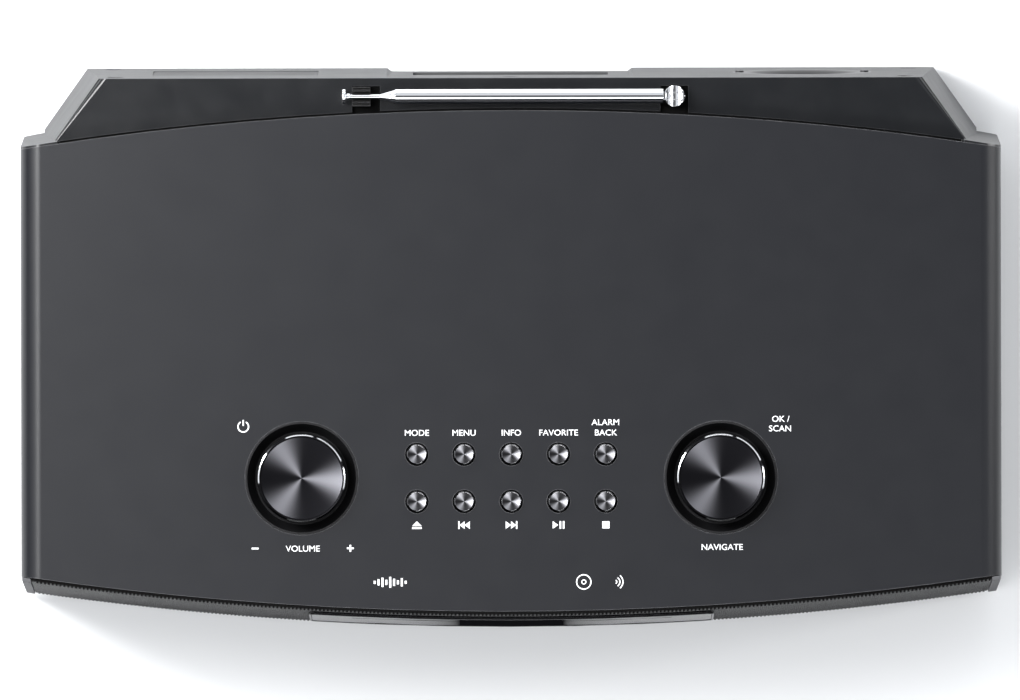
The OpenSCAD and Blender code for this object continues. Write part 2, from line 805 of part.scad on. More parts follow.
module dc_inlet() color([0.05, 0.05, 0.05]) on_rear()
    translate([inlet_x, jack_face, jack_z]) rotate([90, 0, 0]) {
        difference() {
            union() {
                cylinder(d = inlet_d, h = 6, $fn = fine_fn);
                translate([-5, -5.5, 4]) cube([10, 11, 10]);
            }
            translate([0, 0, -1]) cylinder(d = 5.7, h = 10, $fn = fine_fn);
        }
        translate([0, 0, 0.8]) cylinder(d = 2, h = 9, $fn = fine_fn);
    }

module audio_jacks() color([0.07, 0.07, 0.07]) on_rear() for (x = audio_x)
    translate([x, jack_face, jack_z]) rotate([90, 0, 0]) difference() {
        union() {
            cylinder(d = audio_d, h = 5, $fn = fine_fn);
            translate([-4.5, -5.5, 4]) cube([9, 11, 13]);
        }
        translate([0, 0, -1]) cylinder(d = 3.6, h = 16, $fn = fine_fn);
    }

module usb_socket() color([0.75, 0.76, 0.78]) on_rear()
    translate([usb_x, jack_face, jack_z]) rotate([90, 0, 0]) {
        difference() {
            translate([-usb_w / 2, -usb_h / 2, 0]) cube([usb_w, usb_h, 14]);
            translate([usb_wall - usb_w / 2, usb_wall - usb_h / 2, -1])
                cube([usb_w - 2 * usb_wall, usb_h - 2 * usb_wall, 14]);
        }
        translate([-5.8, 0.2, 1]) cube([11.6, 1.8, 12.5]);
    }

module rating_plate() color([0.30, 0.30, 0.31]) on_rear()
    translate([label_x0 + fit, -label_deep + 0.01, label_z0 + fit])
        cube([label_x1 - label_x0 - 2 * fit, 0.3, label_z1 - label_z0 - 2 * fit]);

// ---- aerial ------------------------------------------------------------------------

module antenna_socket() color([0.10, 0.10, 0.10]) translate([swivel_x, aerial_y, 0]) difference() {
    union() {
        intersection() {
            translate([0, 0, ledge_z - cover_wall - collar_h - touch])
                cylinder(d = flange_d, h = collar_h, $fn = fine_fn);
            translate([-flange_d, socket_flat - spare, 0]) cube([2 * flange_d, spare, big]);
        }
        translate([0, 0, ledge_z - cover_wall - touch - socket_lap])
            cylinder(d = socket_d, h = cover_wall + socket_lap + 0.1, $fn = fine_fn);
    }
    translate([0, 0, ledge_z - deep / 2])
        cylinder(d = stem_d + 2 * running, h = deep, $fn = fine_fn);
}

module antenna_turret() color([0.85, 0.85, 0.86]) translate([swivel_x, aerial_y, 0]) {
    difference() {
        union() {
            translate([0, 0, turret_foot])
                cylinder(d = turret_d, h = aerial_z - turret_foot, $fn = fine_fn);
            intersection() {
                translate([0, 0, aerial_z - 0.5]) cylinder(d = turret_d, h = spare, $fn = fine_fn);
                translate([0, turret_d, aerial_z]) rotate([90, 0, 0])
                    cylinder(r = cheek_r, h = 2 * turret_d, $fn = fine_fn);
            }
        }
        translate([-turret_d, -tongue_t / 2 - tongue_room, aerial_z - tongue_r - 2 * tongue_room])
            cube([2 * turret_d, tongue_t + 2 * tongue_room, spare]);
    }
    translate([0, 0, ledge_z - cover_wall - stem_down])
        cylinder(d = stem_d, h = cover_wall + stem_down + 1, $fn = fine_fn);
    translate([0, 0, ledge_z - cover_wall - retainer_down])
        cylinder(d = retainer_d, h = retainer_t, $fn = fine_fn);
    translate([0, tongue_t / 2 + 1, aerial_z]) rotate([90, 0, 0])
        cylinder(d = pin_d, h = tongue_t + 2, $fn = fine_fn);
}

module along_aerial(x) translate([x, aerial_y, aerial_z]) rotate([0, -90, 0]) children();

module antenna_base() color([0.85, 0.85, 0.86]) {
    difference() {
        union() {
            along_aerial(base_x0) cylinder(d = tube_d, h = base_len, $fn = fine_fn);
            translate([swivel_x - tongue_root, aerial_y - tongue_t / 2, aerial_z - 2.3])
                cube([tongue_root, tongue_t, 4.6]);
            translate([swivel_x, aerial_y + tongue_t / 2, aerial_z]) rotate([90, 0, 0])
                cylinder(r = tongue_r, h = tongue_t, $fn = fine_fn);
        }
        along_aerial(base_x0 - section_inset)
            cylinder(r = tube_r(0) - tube_wall, h = base_len, $fn = fine_fn);
        translate([swivel_x, aerial_y + 5, aerial_z]) rotate([90, 0, 0])
            cylinder(d = pin_d + 2 * running, h = 10, $fn = fine_fn);
    }
}

// A sliding tube of the aerial: number i, counted from the base tube.
module section_tube(i) color([0.85, 0.85, 0.86]) difference() {
    along_aerial(base_x0 - section_inset * i - stop_back)
        cylinder(r = tube_r(i), h = base_len - section_inset * i - stop_back + section_step * i,
            $fn = fine_fn);
    along_aerial(base_x0 - section_inset * (i + 1))
        cylinder(r = tube_r(i) - tube_wall, h = base_len + 20, $fn = fine_fn);
}

module antenna_rod() color([0.85, 0.85, 0.86]) {
    along_aerial(base_x0 - section_inset * 5 - stop_back)
        cylinder(r = tube_r(5), h = base_len - section_inset * 5 - stop_back + rod_reach + 0.5,
            $fn = fine_fn);
    along_aerial(base_x1 - rod_reach + collar_back) cylinder(d = collar_d, h = collar_t, $fn = fine_fn);
    along_aerial(base_x1 - rod_reach) cylinder(d = tip_d, h = tip_t, $fn = fine_fn);
}

module antenna_clip() color([0.05, 0.05, 0.05]) difference() {
    translate([clip_x0, aerial_y - clip_throat / 2 - clip_wall, ledge_z - pocket_deep])
        cube([clip_x1 - clip_x0, clip_throat + 2 * clip_wall,
              aerial_z - ledge_z + pocket_deep + clip_top]);
    translate([clip_x0 - 1, aerial_y - clip_throat / 2, aerial_z - clip_floor])
        cube([spare, clip_throat, spare]);
    for (s = [-1, 1])
        translate([clip_x0 - 1, aerial_y + s * (clip_throat / 2 + clip_wall),
                   aerial_z + clip_mouth[2]])
            rotate([s * clip_mouth[1], 0, 0]) translate([0, -clip_mouth[0] / 2, -0.6])
                cube([spare, clip_mouth[0], clip_mouth[0]]);
}

// ---- controls ----------------------------------------------------------------------

module knob_wells() color([0.04, 0.04, 0.04]) for (side = [-1, 1]) at_knob(side)
    translate([0, 0, top_z]) rotate_extrude($fn = fine_fn) difference() {
        translate([0, -well_depth - well_t]) square([well_d / 2 - 0.1, well_depth + well_t]);
        polygon([[0, -well_depth], [knob_d / 2 + well_step, -well_depth],
                 [well_d / 2 - well_curve, -well_depth + well_curve],
                 [well_d / 2 - well_rim, 0.01], [well_d / 2 - well_rim, 1], [0, 1]]);
        translate([0, -well_depth - spare]) square([bush_d / 2 + 0.1, 2 * spare]);
    }

module encoders() color([0.55, 0.56, 0.58]) for (side = [-1, 1]) at_knob(side) difference() {
    union() {
        translate([-encoder_w / 2, -encoder_w / 2, key_board_top])
            cube([encoder_w, encoder_w, ceiling_z - key_board_top
                  + sleeve_wall - well_depth - well_t - 0.1]);
        translate([0, 0, key_board_top])
            cylinder(d = bush_d, h = top_z - well_depth + 1 - key_board_top, $fn = fine_fn);
    }
    translate([0, 0, key_board_top + 0.3])
        cylinder(d = shaft_d + 2 * running, h = 2 * spare, $fn = fine_fn);
}

module plunger(side) color([0.80, 0.78, 0.70]) at_knob(side)
    translate([0, 0, plunger_z]) cylinder(d = plunger_d, h = plunger_t, $fn = fine_fn);

module shaft(side) color([0.70, 0.71, 0.73]) at_knob(side)
    translate([0, 0, plunger_z + plunger_t])
        cylinder(d = shaft_d, h = knob_top - shaft_seat - plunger_z - plunger_t, $fn = fine_fn);

module knob(side) color([0.30, 0.30, 0.31]) at_knob(side) difference() {
    rotate_extrude($fn = fine_fn)
        polygon([[0, knob_foot], [knob_d / 2, knob_foot], [knob_d / 2, knob_top - knob_lip],
                 [knob_d / 2 - knob_lip, knob_top], [knob_d / 2 - knob_lip - 0.6, knob_top],
                 [knob_d / 2 - 2 * knob_lip, knob_top - knob_dish], [0, knob_top - knob_dish]]);
    translate([0, 0, knob_foot - 1]) difference() {
        cylinder(d = knob_d - 2 * knob_wall, h = knob_top - knob_roof - knob_foot + 1,
            $fn = fine_fn);
        translate([0, 0, 1 + hub_up]) cylinder(d = hub_d, h = 2 * spare, $fn = fine_fn);
    }
    translate([0, 0, knob_foot - 1])
        cylinder(d = shaft_d + touch, h = knob_top - shaft_seat - knob_foot + 1, $fn = fine_fn);
}

module key(column, row) color([0.50, 0.50, 0.51]) translate(key_place(column, row)) {
    translate([0, 0, key_flange_top - key_flange_t]) difference() {
        cylinder(d = key_d, h = top_z + key_rise - key_flange_top + key_flange_t, $fn = fine_fn);
        translate([0, 0, top_z + key_rise - key_flange_top + key_flange_t - key_edge_deep])
            ring(key_d + 2, key_d - 2 * key_edge_deep, 1);
    }
    translate([0, 0, key_flange_top - key_flange_t])
        cylinder(d = key_flange_d, h = key_flange_t, $fn = fine_fn);
    translate([0, 0, key_foot_z])
        cylinder(d = key_stem_d, h = key_flange_top - key_foot_z, $fn = fine_fn);
}

module key_board() color([0.10, 0.30, 0.18]) {
    translate([-knob_x - key_board_side, key_y - row_pitch / 2 - key_board_end,
               key_board_top - board_t])
        cube([2 * (knob_x + key_board_side), row_pitch + 2 * key_board_end, board_t]);
    for (sx = [-1, 1], sy = [-1, 1])
        translate([sx * (2.5 * key_pitch + post_out[0]), key_y + sy * (row_pitch / 2 + post_out[1]),
                   key_board_top])
            cylinder(d = post_d, h = ceiling_z - key_board_top, $fn = fine_fn);
}

module key_switches() color([0.20, 0.20, 0.21])
    for (column = key_columns, row = [0, 1]) translate(key_place(column, row)) {
        translate([-switch_w / 2, -switch_w / 2, key_board_top])
            cube([switch_w, switch_w, switch_h - 0.6]);
        translate([0, 0, key_board_top]) cylinder(d = key_stem_d, h = switch_h, $fn = fine_fn);
    }

// ---- disc player and electronics ---------------------------------------------------

module cd_chassis() color([0.62, 0.63, 0.65]) {
    difference() {
        translate([-player_w / 2, player_y0, player_z]) cube([player_w, player_d, player_h]);
        translate([-player_w / 2 + sheet, player_y0 + sheet, player_z + sheet])
            cube([player_w - 2 * sheet, player_d - 2 * sheet, player_h]);
        translate([-player_w / 2 + slot_side, player_y0 - 1, player_z + slot_sill])
            cube([player_w - 2 * slot_side, sheet + 2, player_h]);
        translate([0, spindle_y, player_z - 1])
            cylinder(d = spindle_hole_d, h = sheet + 2, $fn = fine_fn);
    }
    for (sx = [-1, 1], y = [player_y0 + leg_in, player_y0 + player_d - leg_in - leg_w])
        translate([sx * (player_w / 2 - leg_w / 2) - leg_w / 2, y, floor_z])
            cube([leg_w, leg_w, player_z - floor_z]);
}

module cd_guide_rods() color([0.75, 0.75, 0.77]) for (x = [-rod_x, rod_x])
    translate([x, sledge_y - 4, rod_z]) rotate([-90, 0, 0])
        cylinder(d = rod_d, h = pickup_travel + sledge[1] + 4, $fn = fine_fn);

module cd_pickup() color([0.12, 0.12, 0.13]) difference() {
    union() {
        translate([-sledge[0] / 2, sledge_y, rod_z - sledge[2] / 2]) cube(sledge);
        translate([0, sledge_y + sledge[1] / 2, rod_z + sledge[2] / 2])
            cylinder(d = lens_d, h = lens_t, $fn = fine_fn);
    }
    for (x = [-rod_x, rod_x]) translate([x, spindle_y, rod_z]) rotate([-90, 0, 0])
        cylinder(d = rod_d + 2 * running, h = deep, $fn = fine_fn);
}

module cd_turntable() color([0.15, 0.15, 0.16]) translate([0, spindle_y, rotor_z]) {
    cylinder(d = rotor_d, h = rotor_t, $fn = fine_fn);
    translate([0, 0, rotor_t]) cylinder(d = platter_d, h = platter_t, $fn = fine_fn);
    translate([0, 0, rotor_t + platter_t])
        cylinder(d1 = boss_d, d2 = boss_top_d, h = boss_t, $fn = fine_fn);
}

module cd_feed_roller() color([0.06, 0.06, 0.06])
    translate([-roller_len / 2, player_y0 + 10, rod_z]) rotate([0, 90, 0]) {
        cylinder(d = roller_d, h = roller_len, $fn = fine_fn);
        translate([0, 0, -axle_out])
            cylinder(d = axle_d, h = roller_len + 2 * axle_out, $fn = fine_fn);
    }

module main_board() color([0.10, 0.30, 0.18]) {
    translate([-main_size[0] / 2, main_board_y, main_board_z])
        cube([main_size[0], main_size[1], board_t]);
    for (sx = [-1, 1], y = [standoff_in, main_size[1] - standoff_in])
        translate([sx * (main_size[0] / 2 - standoff_in), main_board_y + y, floor_z])
            cylinder(d = standoff_d, h = main_board_z - floor_z, $fn = fine_fn);
    translate([chip_x, 0, main_board_z + board_t]) cube(chip);
    for (x = [30, 44]) translate([x, 20, main_board_z + board_t])
        cylinder(d = capacitor_d, h = capacitor_h, $fn = fine_fn);
}

module heat_sink() color([0.60, 0.61, 0.63]) translate([-52, 44, main_board_z + board_t]) {
    cube([6 * fin_pitch + fin_t, sink_t, sink_h]);
    for (i = [0:6]) translate([i * fin_pitch, sink_t, 0]) cube([fin_t, fin_deep, sink_h]);
}

// ---- nodes -------------------------------------------------------------------------

sleeve_top();
sleeve_sides();
sleeve_floor();
rear_cover();
front_frame();
frame_end_caps();
speaker_grille();
front_baffle();
fascia_surround();
fascia_lens();
cd_slot_lips();
display_module();
cd_chassis();
cd_guide_rods();
main_board();
heat_sink();
key_board();
key_switches();
encoders();
knob_wells();
speaker_baskets();
speaker_magnets();
speaker_cones();
cone_surrounds();
port_tube();
antenna_socket();
antenna_clip();
jack_plate();
dc_inlet();
audio_jacks();
usb_socket();
rating_plate();
feet();
screws();
plunger(-1);  // volume_plunger
plunger(1);  // navigate_plunger
shaft(-1);  // volume_shaft
shaft(1);  // navigate_shaft
knob(-1);  // volume_knob
knob(1);  // navigate_knob
key(-2, 1);  // key_mode
key(-1, 1);  // key_menu
key(0, 1);  // key_info
key(1, 1);  // key_favourite
key(2, 1);  // key_alarm
key(-2, 0);  // key_eject
key(-1, 0);  // key_previous
key(0, 0);  // key_next
key(1, 0);  // key_play
key(2, 0);  // key_stop
antenna_turret();
antenna_base();
section_tube(1);  // antenna_section_2
section_tube(2);  // antenna_section_3
section_tube(3);  // antenna_section_4
section_tube(4);  // antenna_section_5
antenna_rod();
cd_turntable();
cd_pickup();
cd_feed_roller();
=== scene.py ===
# %% [markdown]
# # A tabletop radio
# The radio is a long wooden box, wrapped in charcoal foil, with a bowed grille in front and a moulded cover behind.
# Its working parts come from an engineering model, and this script gives them their finish. A part whose shape is
# already right keeps its mesh and gets a material. A part that needs softer edges or finer detail gets a new piece.

# %% Load the frame
import bmesh
import bpy
import json
import math
from mathutils import Matrix, Vector


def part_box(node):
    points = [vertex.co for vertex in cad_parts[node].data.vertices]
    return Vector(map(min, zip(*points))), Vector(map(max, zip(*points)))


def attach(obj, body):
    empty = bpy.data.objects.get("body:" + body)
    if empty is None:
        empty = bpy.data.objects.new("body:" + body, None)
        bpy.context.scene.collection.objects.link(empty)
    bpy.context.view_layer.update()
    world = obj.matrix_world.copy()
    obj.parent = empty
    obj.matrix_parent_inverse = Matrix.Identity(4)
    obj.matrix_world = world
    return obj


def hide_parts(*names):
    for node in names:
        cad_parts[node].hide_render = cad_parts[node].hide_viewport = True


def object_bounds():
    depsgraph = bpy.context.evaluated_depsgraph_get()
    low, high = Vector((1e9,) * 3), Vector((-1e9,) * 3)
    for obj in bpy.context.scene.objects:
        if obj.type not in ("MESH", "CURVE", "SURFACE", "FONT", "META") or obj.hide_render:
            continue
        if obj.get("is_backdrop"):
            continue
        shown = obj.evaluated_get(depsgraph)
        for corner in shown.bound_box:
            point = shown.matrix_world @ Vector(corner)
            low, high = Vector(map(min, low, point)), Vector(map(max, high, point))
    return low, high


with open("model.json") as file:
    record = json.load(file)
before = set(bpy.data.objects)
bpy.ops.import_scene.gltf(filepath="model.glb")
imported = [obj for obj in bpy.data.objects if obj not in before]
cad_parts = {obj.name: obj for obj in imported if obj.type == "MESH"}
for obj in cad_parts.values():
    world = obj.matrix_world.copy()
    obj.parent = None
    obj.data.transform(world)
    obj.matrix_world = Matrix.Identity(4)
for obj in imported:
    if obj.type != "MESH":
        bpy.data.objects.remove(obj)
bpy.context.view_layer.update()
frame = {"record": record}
MM = 0.001
body_of = {node: body for body, nodes in frame["record"]["behaviour"]["bodies"].items() for node in nodes}
slot_of = {part["node"]: part["material_slot"] for part in frame["record"]["subparts"]}
sleeve_low, sleeve_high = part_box("sleeve_top")
top_z = sleeve_high[2]
print("sleeve", [round(v / MM, 1) for v in sleeve_high], "parts", len(body_of))

# %% [markdown]
# ## The camera
# The radio is seen from straight above. A camera far away with a long lens keeps its sides upright, as a catalogue
# photographer would, and the picture is a little wider than the radio itself.

# %% Place the camera
CAMERA_HEIGHT = 12.5
SHARE_OF_PICTURE = 0.9617
CAMERA_X, CAMERA_Y, CAMERA_TURN = -0.0004, -0.0011, -0.12
PICTURE_WIDTH = (sleeve_high[0] - sleeve_low[0]) / SHARE_OF_PICTURE
camera_data = bpy.data.cameras.new("overhead_camera")
camera_data.sensor_width = 36.0
camera_data.lens = camera_data.sensor_width * CAMERA_HEIGHT / PICTURE_WIDTH
camera_data.clip_end = 100.0
camera = bpy.data.objects.new("overhead_camera", camera_data)
camera.location = (CAMERA_X, CAMERA_Y, top_z + CAMERA_HEIGHT)
camera.rotation_euler = (0, 0, math.radians(CAMERA_TURN))
bpy.context.scene.collection.objects.link(camera)
bpy.context.scene.camera = camera
bpy.context.scene.view_settings.view_transform = "Standard"
print("lens", round(camera_data.lens), "mm")

# %% [markdown]
# ## Light and floor
# One large softbox stands at the upper left, so the panel is lighter there and the shadow falls to the lower right.
# Narrow strips on the left and right draw the edges of the sleeve, a third lights the cover from behind, and a wide
# lamp in front fills the grille.

# %% Build the studio
def softbox(name, place, size, power, target=(0, 0, 0.1)):
    data = bpy.data.lights.new(name, "AREA")
    data.shape = "RECTANGLE"
    data.size, data.size_y = size
    data.energy = power
    lamp = bpy.data.objects.new(name, data)
    lamp.location = place
    lamp.rotation_mode = "QUATERNION"
    lamp.rotation_quaternion = (Vector(target) - Vector(place)).to_track_quat("-Z", "Y")
    bpy.context.scene.collection.objects.link(lamp)
    return lamp


softbox("key_softbox", (-0.80, 0.42, 1.10), (0.40, 1.2), 29)
softbox("left_strip", (-0.62, 0.0, 1.20), (1.6, 0.05), 8)
softbox("right_strip", (1.1, 0.1, 0.50), (0.10, 0.9), 3)
softbox("rear_strip", (0.0, 1.2, 0.50), (1.6, 0.3), 7, (0, 0.25, 0))
softbox("front_fill", (0.1, -0.72, 1.6), (1.6, 0.4), 11, (0.1, -0.35, 0))

# %% [markdown]
# The room round the radio is white above and grey near the floor, with a dark ceiling lamp rose overhead, a dark
# doorway in front and a grey rail on the wall behind. Polished metal shows the doorway as the crisp black line that
# runs along the aerial, and the rail as the thin grey line beside it.

# %% Paint the room
WALL_LIGHT, SKIRTING, CEILING, DOORWAY, RAIL = 0.86, 0.14, 0.16, 0.01, 0.7


def math_node(tree, operation, first, second=None, third=None):
    node = tree.nodes.new("ShaderNodeMath")
    node.operation = operation
    for place, value in enumerate((first, second, third)):
        if value is None:
            continue
        if isinstance(value, (int, float)):
            node.inputs[place].default_value = value
        else:
            tree.links.new(value, node.inputs[place])
    return node.outputs[0]


def room():
    world = bpy.data.worlds.new("studio_room")
    world.use_nodes = True
    tree = world.node_tree
    split = tree.nodes.new("ShaderNodeSeparateXYZ")
    tree.links.new(tree.nodes.new("ShaderNodeTexCoord").outputs["Generated"], split.inputs[0])

    def step(socket, start, end):
        ramp = tree.nodes.new("ShaderNodeMapRange")
        ramp.interpolation_type = "SMOOTHSTEP"
        tree.links.new(socket, ramp.inputs["Value"])
        ramp.inputs["From Min"].default_value, ramp.inputs["From Max"].default_value = start, end
        return ramp.outputs[0]

    def combine(operation, *values):
        return math_node(tree, operation, *values)

    def band(socket, rise, fall):
        return combine("MULTIPLY", step(socket, *rise), combine("SUBTRACT", 1.0, step(socket, *fall)))

    height, depth = split.outputs[2], split.outputs[1]
    wall = combine("MULTIPLY_ADD", step(height, 0.16, 0.34), WALL_LIGHT - SKIRTING, SKIRTING)
    overhead = step(height, 0.945, 0.985)
    light = combine("MULTIPLY_ADD", overhead, CEILING - WALL_LIGHT, wall)
    doorway = combine("MULTIPLY", band(height, (0.03, 0.07), (0.76, 0.79)),
                      combine("SUBTRACT", 1.0, step(depth, -0.55, -0.45)))
    rail = combine("MULTIPLY", band(height, (0.55, 0.57), (0.60, 0.62)), step(depth, 0.50, 0.62))
    open_wall = combine("SUBTRACT", 1.0, combine("MULTIPLY_ADD", rail, RAIL, doorway))
    brightness = combine("MULTIPLY_ADD", light, open_wall, DOORWAY)
    background = tree.nodes["Background"]
    background.inputs["Color"].default_value = (0.94, 0.96, 1.0, 1)
    tree.links.new(brightness, background.inputs["Strength"])
    bpy.context.scene.world = world


room()
print("lamps", [item.name for item in bpy.data.lights])

# %% [markdown]
# ## Node groups for finishes
# Edge wear with painted edge highlights, grain and emboss turn up in many materials. Each is a group with named inputs,
# built once, and each material places it with values of its own. A group gives out only colours, masks and heights.

# %% Helpers for node groups
def new_group(name, inputs, outputs):
    tree = bpy.data.node_groups.new(name, "ShaderNodeTree")
    for label, kind, value in inputs:
        socket = tree.interface.new_socket(name=label, in_out="INPUT", socket_type=kind)
        if value is not None:
            socket.default_value = value
    for label, kind in outputs:
        tree.interface.new_socket(name=label, in_out="OUTPUT", socket_type=kind)
    return tree, tree.nodes.new("NodeGroupInput"), tree.nodes.new("NodeGroupOutput")


def noise_node(tree, vector, scale, detail=3.0, roughness=0.6):
    node = tree.nodes.new("ShaderNodeTexNoise")
    tree.links.new(vector, node.inputs["Vector"])
    if isinstance(scale, (int, float)):
        node.inputs["Scale"].default_value = scale
    else:
        tree.links.new(scale, node.inputs["Scale"])
    node.inputs["Detail"].default_value = detail
    node.inputs["Roughness"].default_value = roughness
    return node.outputs[0]


# %% [markdown]
# Four groups are enough: a fine grain, the linen emboss of the foil, an uneven tint, and a mask for edges that are
# lighter, partly from wear and partly as a painted highlight.

# %% The shared groups
VECTOR, FLOAT, COLOR = "NodeSocketVector", "NodeSocketFloat", "NodeSocketColor"


def build_grain_group():
    tree, source, result = new_group(
        "fine_grain", [("Vector", VECTOR, None), ("Scale", FLOAT, 2500.0), ("Pebble", FLOAT, 0.5)], [("Height", FLOAT)])
    fine = noise_node(tree, source.outputs["Vector"], source.outputs["Scale"])
    coarse = noise_node(tree, source.outputs["Vector"], math_node(tree, "MULTIPLY", source.outputs["Scale"], 0.35), 1.0)
    mixed = math_node(tree, "MULTIPLY_ADD", coarse, source.outputs["Pebble"], fine)
    tree.links.new(mixed, result.inputs["Height"])
    return tree


def build_linen_group():
    tree, source, result = new_group(
        "linen_emboss", [("Vector", VECTOR, None), ("Threads", FLOAT, 900.0)], [("Height", FLOAT)])
    split = tree.nodes.new("ShaderNodeSeparateXYZ")
    tree.links.new(source.outputs["Vector"], split.inputs[0])
    slubs = noise_node(tree, source.outputs["Vector"], 160.0, 2.0)
    threads = []
    for axis in (0, 1):
        turns = math_node(tree, "MULTIPLY", split.outputs[axis], source.outputs["Threads"])
        wobble = math_node(tree, "MULTIPLY_ADD", slubs, 5.0, math_node(tree, "MULTIPLY", turns, 6.2832))
        threads.append(math_node(tree, "SINE", wobble))
    weave = math_node(tree, "MULTIPLY", threads[0], threads[1])
    speckle = noise_node(tree, source.outputs["Vector"], 1400.0, 2.0)
    tree.links.new(math_node(tree, "MULTIPLY_ADD", weave, 0.35, speckle), result.inputs["Height"])
    return tree


def build_tint_group():
    tree, source, result = new_group(
        "uneven_tint", [("Vector", VECTOR, None), ("Color", COLOR, (0.5, 0.5, 0.5, 1)), ("Scale", FLOAT, 40.0),
                        ("Amount", FLOAT, 0.1), ("Wear", FLOAT, 0.0), ("Wear Color", COLOR, (0.4, 0.4, 0.4, 1))],
        [("Color", COLOR)])
    patches = noise_node(tree, source.outputs["Vector"], source.outputs["Scale"], 4.0)
    centred = math_node(tree, "SUBTRACT", patches, 0.5)
    gain = math_node(tree, "MULTIPLY_ADD", centred, source.outputs["Amount"], 1.0)
    scaled = tree.nodes.new("ShaderNodeVectorMath")
    scaled.operation = "SCALE"
    tree.links.new(source.outputs["Color"], scaled.inputs[0])
    tree.links.new(gain, scaled.inputs["Scale"])
    mix = tree.nodes.new("ShaderNodeMix")
    mix.data_type = "RGBA"
    tree.links.new(source.outputs["Wear"], mix.inputs[0])
    tree.links.new(scaled.outputs[0], mix.inputs[6])
    tree.links.new(source.outputs["Wear Color"], mix.inputs[7])
    tree.links.new(mix.outputs[2], result.inputs["Color"])
    return tree


# Edge mask for the lighter edge colour. It is partly real wear, and partly a painted highlight that stands in for light
# caught along edges.
def build_wear_and_highlight_group():
    tree, source, result = new_group(
        "edge_wear_and_highlight", [("Vector", VECTOR, None), ("Radius", FLOAT, 0.0006), ("Amount", FLOAT, 0.5)], [("Mask", FLOAT)])
    bevel = tree.nodes.new("ShaderNodeBevel")
    bevel.samples = 3
    tree.links.new(source.outputs["Radius"], bevel.inputs["Radius"])
    geometry = tree.nodes.new("ShaderNodeNewGeometry")
    dot = tree.nodes.new("ShaderNodeVectorMath")
    dot.operation = "DOT_PRODUCT"
    tree.links.new(bevel.outputs[0], dot.inputs[0])
    tree.links.new(geometry.outputs["Normal"], dot.inputs[1])
    edge = math_node(tree, "MULTIPLY", math_node(tree, "SUBTRACT", 1.0, dot.outputs["Value"]), 4.0)
    broken = noise_node(tree, source.outputs["Vector"], 300.0, 4.0)
    mask = math_node(tree, "MULTIPLY", math_node(tree, "MULTIPLY", edge, broken), source.outputs["Amount"])
    clamp = tree.nodes.new("ShaderNodeClamp")
    tree.links.new(mask, clamp.inputs[0])
    tree.links.new(clamp.outputs[0], result.inputs["Mask"])
    return tree


GRAIN, LINEN, TINT, EDGE_WEAR_AND_HIGHLIGHT = build_grain_group(), build_linen_group(), build_tint_group(), build_wear_and_highlight_group()
print("groups", [tree.name for tree in bpy.data.node_groups])

# %% [markdown]
# ## A finish, from a few values
# Every material here is the same recipe with other numbers: a base colour that is slightly uneven, a roughness that
# varies a little, a fine relief, and lighter edges, partly rubbed by handling and partly a painted highlight along the
# edge. The helper lays the recipe out once.

# %% The recipe
def place_group(tree, group, **values):
    node = tree.nodes.new("ShaderNodeGroup")
    node.node_tree = group
    for label, value in values.items():
        socket = node.inputs[label.replace("_", " ")]
        if hasattr(value, "is_linked"):
            tree.links.new(value, socket)
        else:
            socket.default_value = value
    return node.outputs[0]


def finish(name, color, roughness, metallic=0.0, grain=2500.0, relief=0.05, depth=0.00004, pattern=None,
           tint=0.12, tint_scale=35.0, wear_and_highlight=0.25, wear_and_highlight_color=(0.25, 0.25, 0.26), spread=0.12, coat=0.0,
           specular=0.5, sheen=0.0):
    material = bpy.data.materials.new(name)
    material.use_nodes = True
    tree = material.node_tree
    shader = tree.nodes["Principled BSDF"]
    coords = tree.nodes.new("ShaderNodeTexCoord").outputs["Object"]
    wear_and_highlight_mask = place_group(tree, EDGE_WEAR_AND_HIGHLIGHT, Vector=coords, Radius=0.0005, Amount=wear_and_highlight) if wear_and_highlight else 0.0
    tinted = place_group(tree, TINT, Vector=coords, Color=(*color, 1), Scale=tint_scale, Amount=tint,
                         Wear=wear_and_highlight_mask, Wear_Color=(*wear_and_highlight_color, 1))
    tree.links.new(tinted, shader.inputs["Base Color"])
    cloud = noise_node(tree, coords, tint_scale * 2.3, 4.0)
    rough = math_node(tree, "MULTIPLY_ADD", math_node(tree, "SUBTRACT", cloud, 0.5), spread, roughness)
    tree.links.new(rough, shader.inputs["Roughness"])
    height = place_group(tree, pattern or GRAIN, Vector=coords, **({} if pattern else {"Scale": grain}))
    bump = tree.nodes.new("ShaderNodeBump")
    bump.inputs["Strength"].default_value = relief
    bump.inputs["Distance"].default_value = depth
    tree.links.new(height, bump.inputs["Height"])
    tree.links.new(bump.outputs[0], shader.inputs["Normal"])
    shader.inputs["Metallic"].default_value = metallic
    shader.inputs["Coat Weight"].default_value = coat
    shader.inputs["Coat Roughness"].default_value = 0.06
    shader.inputs["Specular IOR Level"].default_value = specular
    shader.inputs["Sheen Weight"].default_value = sheen
    return material


# %% [markdown]
# ## The palette
# Charcoal foil for the sleeve, near-black mouldings, black powder coat on the grille, piano black for the fascia,
# dark spun aluminium for the knobs, brighter spun aluminium for the keys, and chrome for the aerial.

# %% Mix the finishes
# Where wear is set, the lighter edge colour is partly real wear and partly a painted highlight along the edges, most of
# all on the foil and the knob wells.
foil = finish("charcoal_foil", (0.0056, 0.0062, 0.0084), 0.34, pattern=LINEN, relief=0.10, tint=0.06, wear_and_highlight=0.5,
              wear_and_highlight_color=(0.22, 0.22, 0.23), spread=0.05, specular=0.33)
moulding = finish("spark_moulding", (0.0060, 0.0066, 0.0078), 0.22, grain=3200.0, relief=0.05, tint=0.08, wear_and_highlight=0.3,
                  wear_and_highlight_color=(0.12, 0.12, 0.125), specular=0.44)
